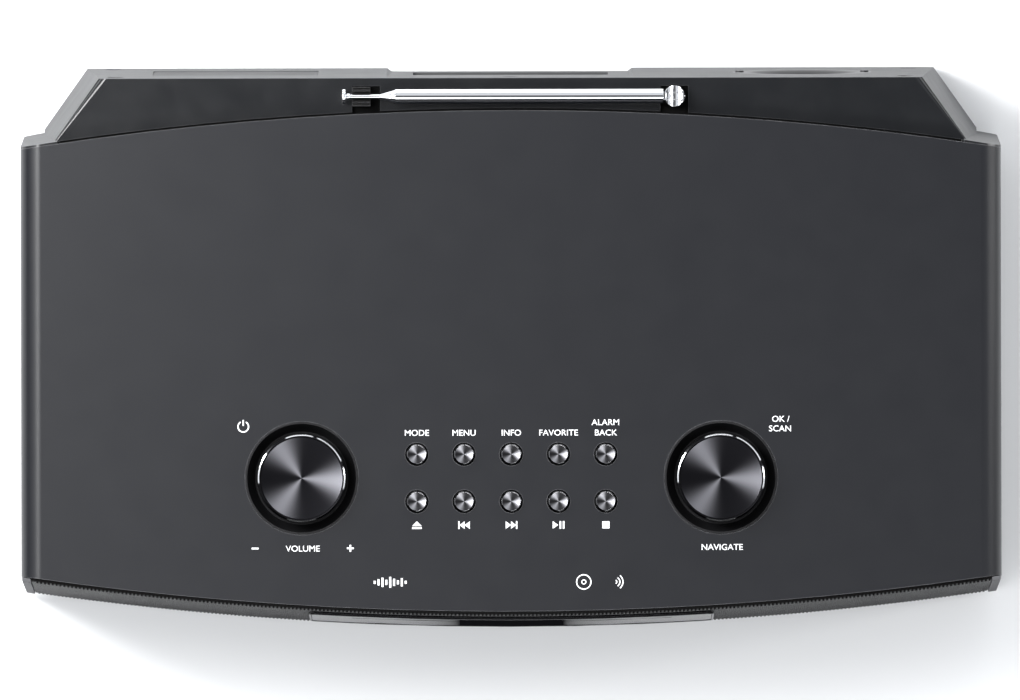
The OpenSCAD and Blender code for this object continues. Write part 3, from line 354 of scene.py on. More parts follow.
# The walls' copy of the moulding is rougher, a real texture. Its lighter colour is painted light, for the light the
# walls catch.
matt_moulding_with_painted_light = finish("matt_moulding_with_painted_light", (0.042, 0.043, 0.045), 0.56, grain=2600.0, relief=0.12, tint=0.08, wear_and_highlight=0.3,
                       wear_and_highlight_color=(0.16, 0.16, 0.165), specular=0.5)
# Near-black, with almost no reflection: the black of the front frame, and painted shade in the cover's pockets and
# along the grille's head.
frame_black_and_painted_shade = finish("frame_black_and_painted_shade", (0.003, 0.003, 0.003), 0.6, relief=0.08, wear_and_highlight=0.0, specular=0.05)
satin_black = finish("satin_black", (0.010, 0.010, 0.011), 0.42, relief=0.10, wear_and_highlight=0.2)
cap_grey = finish("cap_grey", (0.075, 0.076, 0.08), 0.62, relief=0.06, wear_and_highlight=0.3, specular=0.15)
powder_coat = finish("powder_coat", (0.014, 0.014, 0.015), 0.48, grain=4000.0, relief=0.25, wear_and_highlight=0.0)
piano_black = finish("piano_black", (0.006, 0.006, 0.007), 0.14, relief=0.005, wear_and_highlight=0.0, spread=0.03)
rim_gloss = finish("fascia_rim", (0.010, 0.010, 0.011), 0.20, relief=0.03, spread=0.05, wear_and_highlight=0.4, specular=0.1)
felt = finish("slot_felt", (0.010, 0.010, 0.010), 0.95, grain=1800.0, relief=0.9, sheen=0.4, wear_and_highlight=0.0)
screen_glass = finish("screen_glass", (0.006, 0.008, 0.014), 0.07, relief=0.01, wear_and_highlight=0.0, spread=0.02, coat=1.0)
zinc = finish("zinc_plate", (0.52, 0.53, 0.55), 0.32, metallic=1.0, grain=900.0, relief=0.06, spread=0.2)
board_green = finish("board_green", (0.015, 0.10, 0.05), 0.38, grain=700.0, relief=0.10, coat=0.3)
extrusion = finish("extruded_aluminium", (0.58, 0.58, 0.60), 0.36, metallic=1.0, grain=1500.0, relief=0.12)
switch_black = finish("switch_black", (0.022, 0.022, 0.023), 0.45, relief=0.12)
well_black = finish("well_black", (0.0090, 0.0090, 0.0098), 0.45, relief=0.06, wear_and_highlight=0.3, specular=0.08)
basket_black = finish("basket_black", (0.020, 0.020, 0.021), 0.5, relief=0.3, wear_and_highlight=0.0)
ferrite = finish("ferrite", (0.09, 0.09, 0.10), 0.62, relief=0.3, wear_and_highlight=0.0)
cone_paper = finish("cone_paper", (0.028, 0.028, 0.028), 0.85, grain=1200.0, relief=0.6, wear_and_highlight=0.0)
rubber = finish("soft_rubber", (0.016, 0.016, 0.016), 0.72, grain=2200.0, relief=0.25, wear_and_highlight=0.0)
clip_black = finish("clip_black", (0.004, 0.004, 0.004), 0.45, relief=0.08, specular=0.1)
label_foil = finish("label_foil", (0.045, 0.046, 0.048), 0.6, grain=1200.0, relief=0.1, specular=0.25)
screw_black = finish("screw_black", (0.030, 0.030, 0.032), 0.38, metallic=0.9, relief=0.1, wear_and_highlight=0.5)
chrome = finish("aerial_chrome", (0.84, 0.85, 0.87), 0.05, metallic=1.0, grain=700.0, relief=0.0, wear_and_highlight=0.0,
                spread=0.03, tint=0.03)
print_white = finish("print_white", (0.80, 0.81, 0.82), 0.5, relief=0.1, wear_and_highlight=0.0, tint=0.05)
FINISHES = {
    "sleeve_wrap": foil, "cover_plastic": moulding, "frame_black": frame_black_and_painted_shade, "cap_grey": cap_grey,
    "grille_steel": powder_coat, "baffle_plastic": satin_black, "fascia_rim": rim_gloss,
    "fascia_gloss": piano_black, "slot_felt": felt, "screen": screen_glass, "plated_steel": zinc,
    "board": board_green, "raw_aluminium": extrusion, "switch_black": switch_black, "well_black": well_black,
    "basket_black": basket_black, "magnet": ferrite, "cone_paper": cone_paper, "rubber": rubber,
    "clip_black": clip_black, "label_foil": label_foil, "screw_black": screw_black, "chrome": chrome}


def painted_end_sheen(material, near, far):
    """Painted sheen: the specular level rises from the middle of the front to its two ends, so the ends reflect more
    than the middle.
    """
    tree = material.node_tree
    split = tree.nodes.new("ShaderNodeSeparateXYZ")
    tree.links.new(tree.nodes.new("ShaderNodeTexCoord").outputs["Object"], split.inputs[0])
    ramp = tree.nodes.new("ShaderNodeMapRange")
    ramp.interpolation_type = "SMOOTHSTEP"
    tree.links.new(math_node(tree, "ABSOLUTE", split.outputs[0]), ramp.inputs["Value"])
    ramp.inputs["From Min"].default_value, ramp.inputs["From Max"].default_value = near, far
    ramp.inputs["To Min"].default_value, ramp.inputs["To Max"].default_value = 0.0, 0.03
    tree.links.new(ramp.outputs[0], tree.nodes["Principled BSDF"].inputs["Specular IOR Level"])


# The fascia's front gets a painted sheen towards its ends.
painted_end_sheen(piano_black, 0.020, 0.078)
print("finishes", len(FINISHES))

# %% [markdown]
# ## Spun metal
# A turned face carries thousands of concentric grooves, and light gathers on it in fans that run from the centre
# outwards. Here the fans are painted highlights: bright lobes painted into the base colour by the angle round the
# centre, so they turn with the piece. The face's own map runs from -1 to 1 across the piece, so one material serves
# every key: rings come from the distance to the centre, and the painted fans from the angle round it.

# %% Build the spun finish
def build_painted_fan_group():
    tree, source, result = new_group(
        "painted_highlight_fans", [("Vector", VECTOR, None), ("Sharpness", FLOAT, 14.0), ("First", FLOAT, -0.07),
                      ("Second", FLOAT, 2.20), ("Third", FLOAT, 4.05)], [("Mask", FLOAT)])
    split = tree.nodes.new("ShaderNodeSeparateXYZ")
    tree.links.new(source.outputs["Vector"], split.inputs[0])
    angle = math_node(tree, "ARCTAN2", split.outputs[1], split.outputs[0])
    total = None
    for label in ("First", "Second", "Third"):
        away = math_node(tree, "SUBTRACT", angle, source.outputs[label])
        facing = math_node(tree, "MAXIMUM", math_node(tree, "COSINE", away), 0.0)
        fan = math_node(tree, "POWER", facing, source.outputs["Sharpness"])
        total = fan if total is None else math_node(tree, "ADD", total, fan)
    tree.links.new(total, result.inputs["Mask"])
    return tree


def build_ring_group():
    tree, source, result = new_group(
        "spun_rings", [("Vector", VECTOR, None), ("Rings", FLOAT, 60.0)], [("Height", FLOAT)])
    length = tree.nodes.new("ShaderNodeVectorMath")
    length.operation = "LENGTH"
    tree.links.new(source.outputs["Vector"], length.inputs[0])
    turns = math_node(tree, "MULTIPLY", length.outputs["Value"], source.outputs["Rings"])
    uneven = tree.nodes.new("ShaderNodeTexNoise")
    uneven.noise_dimensions = "1D"
    tree.links.new(turns, uneven.inputs["W"])
    uneven.inputs["Scale"].default_value = 1.0
    uneven.inputs["Detail"].default_value = 2.0
    tree.links.new(uneven.outputs[0], result.inputs["Height"])
    return tree


# Painted highlights: bright arcs round a ring edge at fixed angles, painted into the base colour.
def build_painted_glint_group():
    tree, source, result = new_group(
        "painted_edge_glints", [("Vector", VECTOR, None), ("Turn", FLOAT, 0.0)], [("Mask", FLOAT)])
    split = tree.nodes.new("ShaderNodeSeparateXYZ")
    tree.links.new(source.outputs["Vector"], split.inputs[0])
    angle = math_node(tree, "SUBTRACT", math_node(tree, "ARCTAN2", split.outputs[1], split.outputs[0]),
                      source.outputs["Turn"])
    total = None
    for middle_turn, half_turn in PAINTED_GLINT_ARCS:
        facing = math_node(tree, "COSINE", math_node(tree, "SUBTRACT", angle, math.radians(middle_turn)))
        edge = math.cos(math.radians(half_turn))
        arc = tree.nodes.new("ShaderNodeMapRange")
        tree.links.new(facing, arc.inputs["Value"])
        arc.inputs["From Min"].default_value = edge - 0.004
        arc.inputs["From Max"].default_value = edge + 0.012
        total = arc.outputs[0] if total is None else math_node(tree, "MAXIMUM", total, arc.outputs[0])
    tree.links.new(total, result.inputs["Mask"])
    return tree


# Middle angles and half widths, in degrees, of the painted highlight arcs.
PAINTED_GLINT_ARCS = ((0, 15), (46, 23), (93, 19), (166, 21), (270, 20))
EDGE_ROUGHNESS = 0.16
PAINTED_FANS, RINGS, PAINTED_EDGE_GLINTS = build_painted_fan_group(), build_ring_group(), build_painted_glint_group()


def spun(name, dark, painted_highlight_color, roughness, rings, sharpness=14.0):
    material = bpy.data.materials.new(name)
    material.use_nodes = True
    tree = material.node_tree
    shader = tree.nodes["Principled BSDF"]
    uv = tree.nodes.new("ShaderNodeTexCoord").outputs["UV"]
    mask = place_group(tree, PAINTED_FANS, Vector=uv, Sharpness=sharpness)
    groove = place_group(tree, RINGS, Vector=uv, Rings=rings)
    mix = tree.nodes.new("ShaderNodeMix")
    mix.data_type = "RGBA"
    mix.inputs[6].default_value = (*dark, 1)
    mix.inputs[7].default_value = (*painted_highlight_color, 1)
    # Painted highlight: the fans, broken by the grooves, mix the dark colour towards the bright one in the base colour.
    painted_fan_highlight = math_node(tree, "MULTIPLY", mask, math_node(tree, "MULTIPLY_ADD", groove, 0.35, 0.82))
    tree.links.new(painted_fan_highlight, mix.inputs[0])
    tree.links.new(mix.outputs[2], shader.inputs["Base Color"])
    tree.links.new(math_node(tree, "MULTIPLY_ADD", groove, 0.12, roughness), shader.inputs["Roughness"])
    bump = tree.nodes.new("ShaderNodeBump")
    bump.inputs["Strength"].default_value = 0.15
    bump.inputs["Distance"].default_value = 0.00003
    tree.links.new(groove, bump.inputs["Height"])
    tree.links.new(bump.outputs[0], shader.inputs["Normal"])
    shader.inputs["Metallic"].default_value = 1.0
    return material


def painted_glint_finish(name, dark, painted_highlight_color, turn):
    material = bpy.data.materials.new(name)
    material.use_nodes = True
    tree = material.node_tree
    shader = tree.nodes["Principled BSDF"]
    coords = tree.nodes.new("ShaderNodeTexCoord")
    mask = place_group(tree, PAINTED_EDGE_GLINTS, Vector=coords.outputs["UV"], Turn=turn)
    mix = tree.nodes.new("ShaderNodeMix")
    mix.data_type = "RGBA"
    tree.links.new(mask, mix.inputs[0])
    mix.inputs[6].default_value = (*dark, 1)
    mix.inputs[7].default_value = (*painted_highlight_color, 1)
    tree.links.new(mix.outputs[2], shader.inputs["Base Color"])
    smudge = noise_node(tree, coords.outputs["Object"], 300.0)
    tree.links.new(math_node(tree, "MULTIPLY_ADD", smudge, 0.12, EDGE_ROUGHNESS), shader.inputs["Roughness"])
    shader.inputs["Metallic"].default_value = 1.0
    return material


# The knob and key faces carry painted highlight fans in their base colour.
knob_face = spun("knob_face", (0.006, 0.006, 0.007), (0.15, 0.15, 0.165), 0.36, 260.0, 16.0)
key_face = spun("key_face", (0.014, 0.014, 0.015), (0.30, 0.30, 0.32), 0.32, 70.0, 11.0)
knob_side = finish("knob_side", (0.008, 0.008, 0.009), 0.34, metallic=1.0, relief=0.08, wear_and_highlight=0.0)
# The polished edges of knobs and keys carry these painted highlight arcs in their base colour.
knob_edge = painted_glint_finish("knob_edge", (0.012, 0.012, 0.013), (0.90, 0.91, 0.93), 0.0)
key_edge = painted_glint_finish("key_edge", (0.008, 0.008, 0.009), (0.35, 0.35, 0.36), math.radians(15))
bright_edge = finish("bright_edge", (0.70, 0.71, 0.73), 0.12, metallic=1.0, relief=0.02, wear_and_highlight=0.0)
print("spun finishes ready")

# %% [markdown]
# ## Giving the frame's parts their finish
# Each part of the frame names its material slot in the record, so one loop dresses all of them.

# %% Dress every part
def dress(piece, material):
    piece.data.materials.clear()
    piece.data.materials.append(material)


for node, slot in slot_of.items():
    dress(bpy.data.objects[node], FINISHES.get(slot, bright_edge))
print("dressed", len(slot_of))

# %% [markdown]
# ## Pieces with softened edges
# A real moulding or board has no razor edges, and the thin bright line along an edge is what makes it look solid.
# The helper copies a part, merges its loose triangles, joins the flat ones, and bevels each edge that is sharp.

# %% A softened copy
SHARP = math.radians(28)


def new_piece(name, bm, materials, body):
    mesh = bpy.data.meshes.new(name)
    for edge in bm.edges:
        if len(edge.link_faces) == 2:
            edge.smooth = edge.calc_face_angle(0.0) < SHARP
    for face in bm.faces:
        face.smooth = True
    bm.to_mesh(mesh)
    bm.free()
    piece = bpy.data.objects.new(name, mesh)
    for material in materials:
        mesh.materials.append(material)
    bpy.context.scene.collection.objects.link(piece)
    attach(piece, body)
    return piece


def is_sharp(edge):
    return len(edge.link_faces) == 2 and edge.calc_face_angle(0.0) > SHARP


def shade_evenly(piece):
    weighted = piece.modifiers.new("even_shading", "WEIGHTED_NORMAL")
    weighted.keep_sharp = True


def merged_copy(node):
    bm = bmesh.new()
    bm.from_mesh(bpy.data.objects[node].data)
    bmesh.ops.remove_doubles(bm, verts=bm.verts, dist=2e-6)
    bmesh.ops.dissolve_limit(bm, angle_limit=math.radians(0.6), verts=bm.verts, edges=bm.edges,
                             use_dissolve_boundaries=False)
    return bm


def bevel_sharp(bm, width, segments=2, chosen=lambda edge: True):
    sharp = [e for e in bm.edges if is_sharp(e) and chosen(e)]
    bmesh.ops.bevel(bm, geom=sharp, offset=width, offset_type="OFFSET", segments=segments, profile=0.5,
                    affect="EDGES", clamp_overlap=True, material=-1)
    return len(sharp)


def softened(node, width, segments=2, chosen=lambda edge: True):
    bm = merged_copy(node)
    count = bevel_sharp(bm, width, segments, chosen)
    piece = new_piece(node + "_soft", bm, [FINISHES[slot_of[node]]], body_of[node])
    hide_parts(node)
    shade_evenly(piece)
    print(node, "bevelled edges", count, "faces", len(piece.data.polygons))
    return piece


# %% [markdown]
# ## The cabinet
# The sleeve's board is wrapped in foil, so its edges are rounded by less than a millimetre. The rear cover, the
# frame and the end caps are mouldings, with a slightly larger radius on the cover.

# %% Soften the cabinet
SEAMS = [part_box("sleeve_sides")[0][2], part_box("sleeve_sides")[1][2]]


def off_the_seams(edge):
    return not any(abs(vert.co.z - seam) < 0.05 * MM for vert in edge.verts for seam in SEAMS)


for board in ("sleeve_top", "sleeve_sides", "sleeve_floor"):
    softened(board, 0.45 * MM, 2, chosen=off_the_seams)

# %% [markdown]
# The cover's ledge ends in a broad rounded edge above each slanted corner. It is rounded first, and the fine edges
# after it.

# %% Soften the rear cover
LEDGE_EDGE = 2.4 * MM
CLIP_RISE = 7.2 * MM


def soften_cover():
    bm = merged_copy("rear_cover")
    ledge = Vector(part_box("antenna_clip")[1]).z - CLIP_RISE
    pocket_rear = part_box("antenna_socket")[1][1] + 0.1 * MM
    tall = [e for e in bm.edges if is_sharp(e)
            and abs(e.verts[0].co.z - e.verts[1].co.z) < 0.05 * MM
            and any(abs(f.normal.z) > 0.99 for f in e.link_faces)
            and any(abs(f.normal.x) > 0.5 and f.normal.y > 0.3 for f in e.link_faces)
            and e.calc_length() > 20 * MM and e.verts[0].co.z > ledge - 1 * MM]
    bmesh.ops.bevel(bm, geom=tall, offset=LEDGE_EDGE, offset_type="OFFSET", segments=5, profile=0.5,
                    affect="EDGES", clamp_overlap=False, material=-1)
    count = bevel_sharp(bm, 0.45 * MM, 2)
    bm.normal_update()
    for face in bm.faces:
        height = face.calc_center_median().z
        # Faces low in the aerial's pockets get the near-black material as painted shade in the recesses.
        painted_shade_pocket = ledge - 4 * MM < height < ledge - 0.7 * MM and face.calc_center_median().y < pocket_rear
        on_ledge = face.normal.z > 0.5 and height > ledge - 1 * MM
        # Walls get the matt copy. Its rougher texture is real, and its colour, lighter than the ledge's, is painted
        # light.
        face.material_index = 2 if painted_shade_pocket else 0 if on_ledge else 1
    piece = new_piece("rear_cover_soft", bm, [moulding, matt_moulding_with_painted_light, frame_black_and_painted_shade], "cabinet")
    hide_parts("rear_cover")
    shade_evenly(piece)
    print("broad edges", len(tall), "fine edges", count)


soften_cover()
softened("front_frame", 0.25 * MM, 1)
softened("frame_end_caps", 0.4 * MM, 2)
softened("knob_wells", 0.25 * MM, 2)
softened("fascia_surround", 0.2 * MM, 2)
softened("fascia_lens", 0.3 * MM, 2)
softened("antenna_clip", 0.3 * MM, 2)
softened("jack_plate", 0.25 * MM, 1)
softened("port_tube", 0.3 * MM, 2)

# %% [markdown]
# ## Turned pieces
# Knobs, keys and the aerial's tubes are all made on a lathe or look as if they were. Each is a short outline, spun
# round its axis.

# %% A lathe
def turned(name, outline, centre, body, materials, steps=72, along_x=False, replaces=None, face_map=0.0):
    bm = bmesh.new()
    points = [bm.verts.new((radius * MM, 0, height * MM)) for radius, height, *_ in outline]
    edges = [bm.edges.new(pair) for pair in zip(points, points[1:])]
    kinds = [place[2] if len(place) > 2 else 0 for place in outline[:-1]]
    tags = bm.faces.layers.int.new("kind")
    for edge, kind in zip(edges, kinds):
        before = set(bm.faces)
        bmesh.ops.spin(bm, geom=[edge, *edge.verts], cent=(0, 0, 0), axis=(0, 0, 1), steps=steps,
                       angle=math.tau, use_merge=True)
        for face in set(bm.faces) - before:
            face[tags] = kind
    bmesh.ops.remove_doubles(bm, verts=bm.verts, dist=2e-6)
    bmesh.ops.dissolve_degenerate(bm, dist=1e-6, edges=bm.edges)
    bmesh.ops.recalc_face_normals(bm, faces=bm.faces)
    for face in bm.faces:
        face.material_index = face[tags]
    if face_map:
        uv = bm.loops.layers.uv.new("UVMap")
        for face in bm.faces:
            for loop in face.loops:
                loop[uv].uv = (loop.vert.co.x / face_map, loop.vert.co.y / face_map)
    if along_x:
        bmesh.ops.rotate(bm, verts=bm.verts, cent=(0, 0, 0), matrix=Matrix.Rotation(math.radians(-90), 3, "Y"))
    bmesh.ops.translate(bm, verts=bm.verts, vec=Vector(centre))
    piece = new_piece(name, bm, materials, body)
    if replaces:
        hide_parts(replaces)
    return piece


def middle(node):
    low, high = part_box(node)
    return (Vector(low) + Vector(high)) / 2, Vector(low), Vector(high)


# %% [markdown]
# ## Knobs and keys
# A knob is a dark cup with a polished edge round a spun face, which sits a hair below the edge. A key is the same
# idea at a quarter of the size.

# %% Turn the knobs
BORE_R, BORE_ROOF, HUB_R, HUB_LIFT, CUP_ROOF, CUP_WALL = 3.05, 4, 6.0, 3.5, 3, 2

for side in ("volume", "navigate"):
    node = side + "_knob"
    centre, low, high = middle(node)
    radius, tall = (high.x - low.x) / 2 / MM, (high.z - low.z) / MM
    outline = [(0, tall - BORE_ROOF, 0), (BORE_R, tall - BORE_ROOF, 0), (BORE_R, HUB_LIFT, 0),
               (HUB_R, HUB_LIFT, 0), (HUB_R, tall - CUP_ROOF, 0),
               (radius - CUP_WALL, tall - CUP_ROOF, 0), (radius - CUP_WALL, 0, 0),
               (radius - 0.4, 0, 0), (radius, 0.4, 0), (radius, tall - 1.1, 0), (radius - 0.15, tall - 0.6, 0),
               (radius - 0.35, tall - 0.25, 1), (radius - 0.8, tall, 0), (radius - 1.15, tall - 0.05, 0),
               (radius - 1.45, tall - 0.45, 2), (radius - 1.7, tall - 0.5, 2), (0.0, tall - 0.75, 2)]
    turned(node + "_spun", outline, (centre.x, centre.y, low.z), body_of[node],
           [knob_side, knob_edge, knob_face], 128, replaces=node,
           face_map=radius * MM)

# %% [markdown]
# A key's stem passes through the board, and its flange stops it from below.

# %% Turn the keys
CAP_R, FLANGE_GAP = 4.0, 1.3
keys = [node for node, slot in slot_of.items() if slot == "key_metal"]
for node in keys:
    centre, low, high = middle(node)
    tall = (high.z - low.z) / MM
    radius, flange = CAP_R, (high.x - low.x) / 2 / MM
    seat = (sleeve_low[2] - FLANGE_GAP * MM - low.z) / MM
    outline = [(0.0, 0, 0), (1.6, 0, 0), (1.7, 0.1, 0), (1.7, seat, 0), (flange, seat, 0), (flange, seat + 1, 0),
               (radius, seat + 1, 0), (radius, tall - 0.55, 1), (radius - 0.12, tall - 0.25, 1),
               (radius - 0.35, tall - 0.05, 1), (radius - 0.5, tall - 0.05, 2), (radius - 0.65, tall - 0.12, 2),
               (0.0, tall - 0.2, 2)]
    turned(node + "_spun", outline, (centre.x, centre.y, low.z), body_of[node],
           [switch_black, key_edge, key_face], 48, replaces=node, face_map=radius * MM)
print("keys", len(keys))

# %% [markdown]
# ## The aerial
# Chromed brass tubes slide inside one another, and the end of each is rolled in to grip the next. The last is a
# plain rod with a turned tip.

# %% Turn the aerial's tubes
WALL = 0.35


def tube(node):
    centre, low, high = middle(node)
    radius, length = (high.z - low.z) / 2 / MM, (high.x - low.x) / MM
    bore = radius - WALL
    outline = [(bore, 0.3), (radius - 0.1, 0), (radius, 0.1), (radius, length - 1.1), (radius - 0.08, length - 0.5),
               (bore + 0.1, length - 0.05), (bore, length), (bore, 0.3)]
    turned(node + "_tube", outline, (high.x, centre.y, centre.z), body_of[node], [chrome], 48, along_x=True,
           replaces=node)


for number in (2, 3, 4, 5):
    tube("antenna_section_%d" % number)
centre, low, high = middle("antenna_rod")
tip_r, reach = (high.z - low.z) / 2 / MM, (high.x - low.x) / MM
ROD_R, COLLAR_R, TIP_T = 0.9, 1.3, 1.3
turned("antenna_rod_turned",
       [(0, 0), (ROD_R - 0.1, 0), (ROD_R, 0.1), (ROD_R, reach - TIP_T - 1.9), (COLLAR_R - 0.1, reach - TIP_T - 1.7),
        (COLLAR_R, reach - TIP_T - 1.5), (COLLAR_R, reach - TIP_T - 0.5), (ROD_R, reach - TIP_T - 0.2),
        (ROD_R, reach - TIP_T), (tip_r - 0.35, reach - TIP_T), (tip_r - 0.1, reach - TIP_T + 0.1),
        (tip_r, reach - TIP_T + 0.35), (tip_r, reach - 0.35), (tip_r - 0.1, reach - 0.1), (tip_r - 0.35, reach),
        (0, reach)],
       (high.x, centre.y, centre.z), body_of["antenna_rod"], [chrome], 48, along_x=True,
       replaces="antenna_rod")
softened("antenna_base", 0.2 * MM, 2)
softened("antenna_turret", 0.25 * MM, 3)

# %% [markdown]
# ## The grille
# The grille is steel sheet, punched with thousands of small holes in staggered rows. One hexagonal cell with a
# hexagonal hole is made, copied in rows with Array modifiers, trimmed, bent to the bowed front, and given thickness
# last. The cell is kept to six faces, because it is repeated thousands of times.

# %% Punch the sheet
PITCH = 1.5 * MM
HOLE = 0.64
SHEET_T = 0.4 * MM


def everything(bm):
    return bm.verts[:] + bm.edges[:] + bm.faces[:]


def one_cell():
    bm = bmesh.new()
    outer = bmesh.ops.create_circle(bm, segments=6, radius=PITCH / math.sqrt(3))["verts"]
    inner = bmesh.ops.create_circle(bm, segments=6, radius=PITCH / math.sqrt(3) * HOLE)["verts"]
    edges = [e for v in outer + inner for e in v.link_edges]
    bmesh.ops.bridge_loops(bm, edges=list(set(edges)))
    bmesh.ops.rotate(bm, verts=bm.verts, cent=(0, 0, 0), matrix=Matrix.Rotation(math.radians(30), 3, "Z"))
    copy = bmesh.ops.duplicate(bm, geom=everything(bm))["geom"]
    bmesh.ops.translate(bm, verts=[v for v in copy if isinstance(v, bmesh.types.BMVert)],
                        vec=(PITCH / 2, PITCH * math.sqrt(3) / 2, 0))
    return bm


def repeated(bm, across, up):
    mesh = bpy.data.meshes.new("punched_cells")
    bm.to_mesh(mesh)
    bm.free()
    sheet = bpy.data.objects.new("punched_cells", mesh)
    bpy.context.scene.collection.objects.link(sheet)
    for count, offset in ((across, (PITCH, 0, 0)), (up, (0, PITCH * math.sqrt(3), 0))):
        array = sheet.modifiers.new("rows", "ARRAY")
        array.use_relative_offset = False
        array.use_constant_offset = True
        array.constant_offset_displace = offset
        array.count = count
    made = bpy.data.meshes.new_from_object(sheet.evaluated_get(bpy.context.evaluated_depsgraph_get()))
    bpy.data.objects.remove(sheet)
    result = bmesh.new()
    result.from_mesh(made)
    bmesh.ops.remove_doubles(result, verts=result.verts, dist=PITCH * 0.02)
    return result


def cut_outside(bm, place, normal):
    bmesh.ops.bisect_plane(bm, geom=everything(bm), plane_co=place, plane_no=normal,
                           clear_outer=True)


grille_low, grille_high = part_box("speaker_grille")
fascia_low, fascia_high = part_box("fascia_surround")
FRONT_LEAN = math.radians(2.6)
FRONT_RADIUS = 1.296
FRAME_Y, GRILLE_PROUD = -0.1024, 0.0014
FRONT_Y = FRAME_Y - GRILLE_PROUD
half_width = grille_high[0]
height = (grille_high[2] - grille_low[2]) / math.cos(FRONT_LEAN)
print("grille", round(half_width / MM, 1), round(height / MM, 1))


def to_front(bm):
    """Bends the flat sheet to the bow and leans it back, from x, height above the foot, and depth behind the face."""
    for vert in bm.verts:
        x, up, deep = vert.co
        bow = FRONT_RADIUS - math.sqrt(FRONT_RADIUS ** 2 - x * x)
        down = top_z - (grille_low[2] + up * math.cos(FRONT_LEAN))
        vert.co = Vector((x, FRONT_Y + bow - down * math.tan(FRONT_LEAN) + deep, top_z - down))


def grille_panel(name, x0, x1, window):
    """A stretch of the punched sheet between two places along the front, without the fascia's window."""
    columns = int((x1 - x0) / PITCH) + 3
    rows = int(height / (PITCH * math.sqrt(3))) + 2
    bm = repeated(one_cell(), columns, rows)
    start = math.floor(x0 / PITCH) * PITCH
    bmesh.ops.translate(bm, verts=bm.verts, vec=(start, 0, 0))
    cut_outside(bm, (x1, 0, 0), (1, 0, 0))
    cut_outside(bm, (x0, 0, 0), (-1, 0, 0))
    cut_outside(bm, (0, 0, 0), (0, -1, 0))
    cut_outside(bm, (0, height, 0), (0, 1, 0))
    left, right, foot, head = window
    for place, normal in (((left, 0, 0), (1, 0, 0)), ((right, 0, 0), (1, 0, 0)),
                          ((0, foot, 0), (0, 1, 0)), ((0, head, 0), (0, 1, 0))):
        bmesh.ops.bisect_plane(bm, geom=everything(bm), plane_co=place, plane_no=normal)
    covered = [f for f in bm.faces if left < f.calc_center_median().x < right
               and foot < f.calc_center_median().y < head]
    bmesh.ops.delete(bm, geom=covered, context="FACES")
    to_front(bm)
    bmesh.ops.recalc_face_normals(bm, faces=bm.faces)
    if sum(face.normal.y for face in bm.faces) > 0:
        bmesh.ops.reverse_faces(bm, faces=bm.faces)
    piece = new_piece(name, bm, [powder_coat], "cabinet")
    solid = piece.modifiers.new("sheet", "SOLIDIFY")
    solid.thickness = SHEET_T
    solid.offset = -1
    solid.use_even_offset = False
    print(piece.name, "cell faces", len(piece.data.polygons))
    return piece


INSET = 1.2 * MM
window = (fascia_low[0] + INSET, fascia_high[0] - INSET,
          (fascia_low[2] - grille_low[2]) / math.cos(FRONT_LEAN) + INSET,
          (fascia_high[2] - grille_low[2]) / math.cos(FRONT_LEAN) - INSET)
STOPS = [-half_width, -half_width * 0.45, half_width * 0.45, half_width]
grille_pieces = [grille_panel(name, x0, x1, window)
                 for name, x0, x1 in zip(("grille_left", "grille_middle", "grille_right"), STOPS, STOPS[1:])]
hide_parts("speaker_grille")

# %% [markdown]
# The punched sheet ends in the middle of a row of holes at its head and at its foot, which leaves a row of fine
# teeth along both edges.

# %% Edge teeth
def teeth(name, material, up, tall, ahead, behind, offset):
    """A row of short teeth at a height above the foot, from ahead of the sheet's face to behind it."""
    bm = bmesh.new()
    bmesh.ops.create_cube(bm, size=1.0)
    bmesh.ops.scale(bm, vec=(PITCH * 0.52, tall, ahead + behind), verts=bm.verts)
    bmesh.ops.translate(bm, verts=bm.verts, vec=(0, up + tall / 2, (behind - ahead) / 2))
    count = int(2 * half_width / PITCH) - 1
    row = repeated(bm, count, 1)
    bmesh.ops.translate(row, verts=row.verts, vec=(offset - (count - 1) * PITCH / 2, 0, 0))
    to_front(row)
    bmesh.ops.recalc_face_normals(row, faces=row.faces)
    piece = new_piece(name, row, [material], "cabinet")
    print(piece.name, count)


teeth("grille_foot_teeth", satin_black, 0.0, 0.5 * MM, 0.32 * MM, 0.1 * MM, 0.0)
# The head's row is near-black and darker than the sheet: painted shade in the half holes along the top edge.
teeth("grille_head_teeth", frame_black_and_painted_shade, height - 0.02 * MM, 0.2 * MM, 0.36 * MM, 0.5 * MM, PITCH / 2)

# %% [markdown]
# ## Printed words and symbols
# The words over the keys are printed in white. They are flat letters, a few hundredths of a millimetre thick, that
# stand on the panel. Capital letters are 2.4 mm tall.

# %% Print the words
PRINT_Z = top_z + 0.01 * MM
CAPITAL, CAPITAL_SHARE, WEIGHT, STRETCH = 2.4, 0.729, 0.012, 1.03
FIRST_LINE, SECOND_LINE = 7.2 * MM, 11.2 * MM


def lettering(words, x, y):
    curve = bpy.data.curves.new("print", "FONT")
    curve.body = words
    curve.align_x = "CENTER"
    curve.size = CAPITAL * MM / CAPITAL_SHARE
    curve.offset = WEIGHT * MM
    curve.extrude = 0.015 * MM
    curve.resolution_u = 4
    source = bpy.data.objects.new("print", curve)
    bpy.context.scene.collection.objects.link(source)
    bpy.context.view_layer.update()
    mesh = bpy.data.meshes.new_from_object(source.evaluated_get(bpy.context.evaluated_depsgraph_get()))
    bpy.data.objects.remove(source)
    bm = bmesh.new()
    bm.from_mesh(mesh)
    bmesh.ops.remove_doubles(bm, verts=bm.verts, dist=1e-7)
    bmesh.ops.scale(bm, vec=(STRETCH, 1, 1), verts=bm.verts)
    bmesh.ops.translate(bm, verts=bm.verts, vec=(x, y, PRINT_Z))
    label = "print_" + "".join(c for c in words.lower() if c.isalnum())
    return new_piece(label, bm, [print_white], "cabinet")


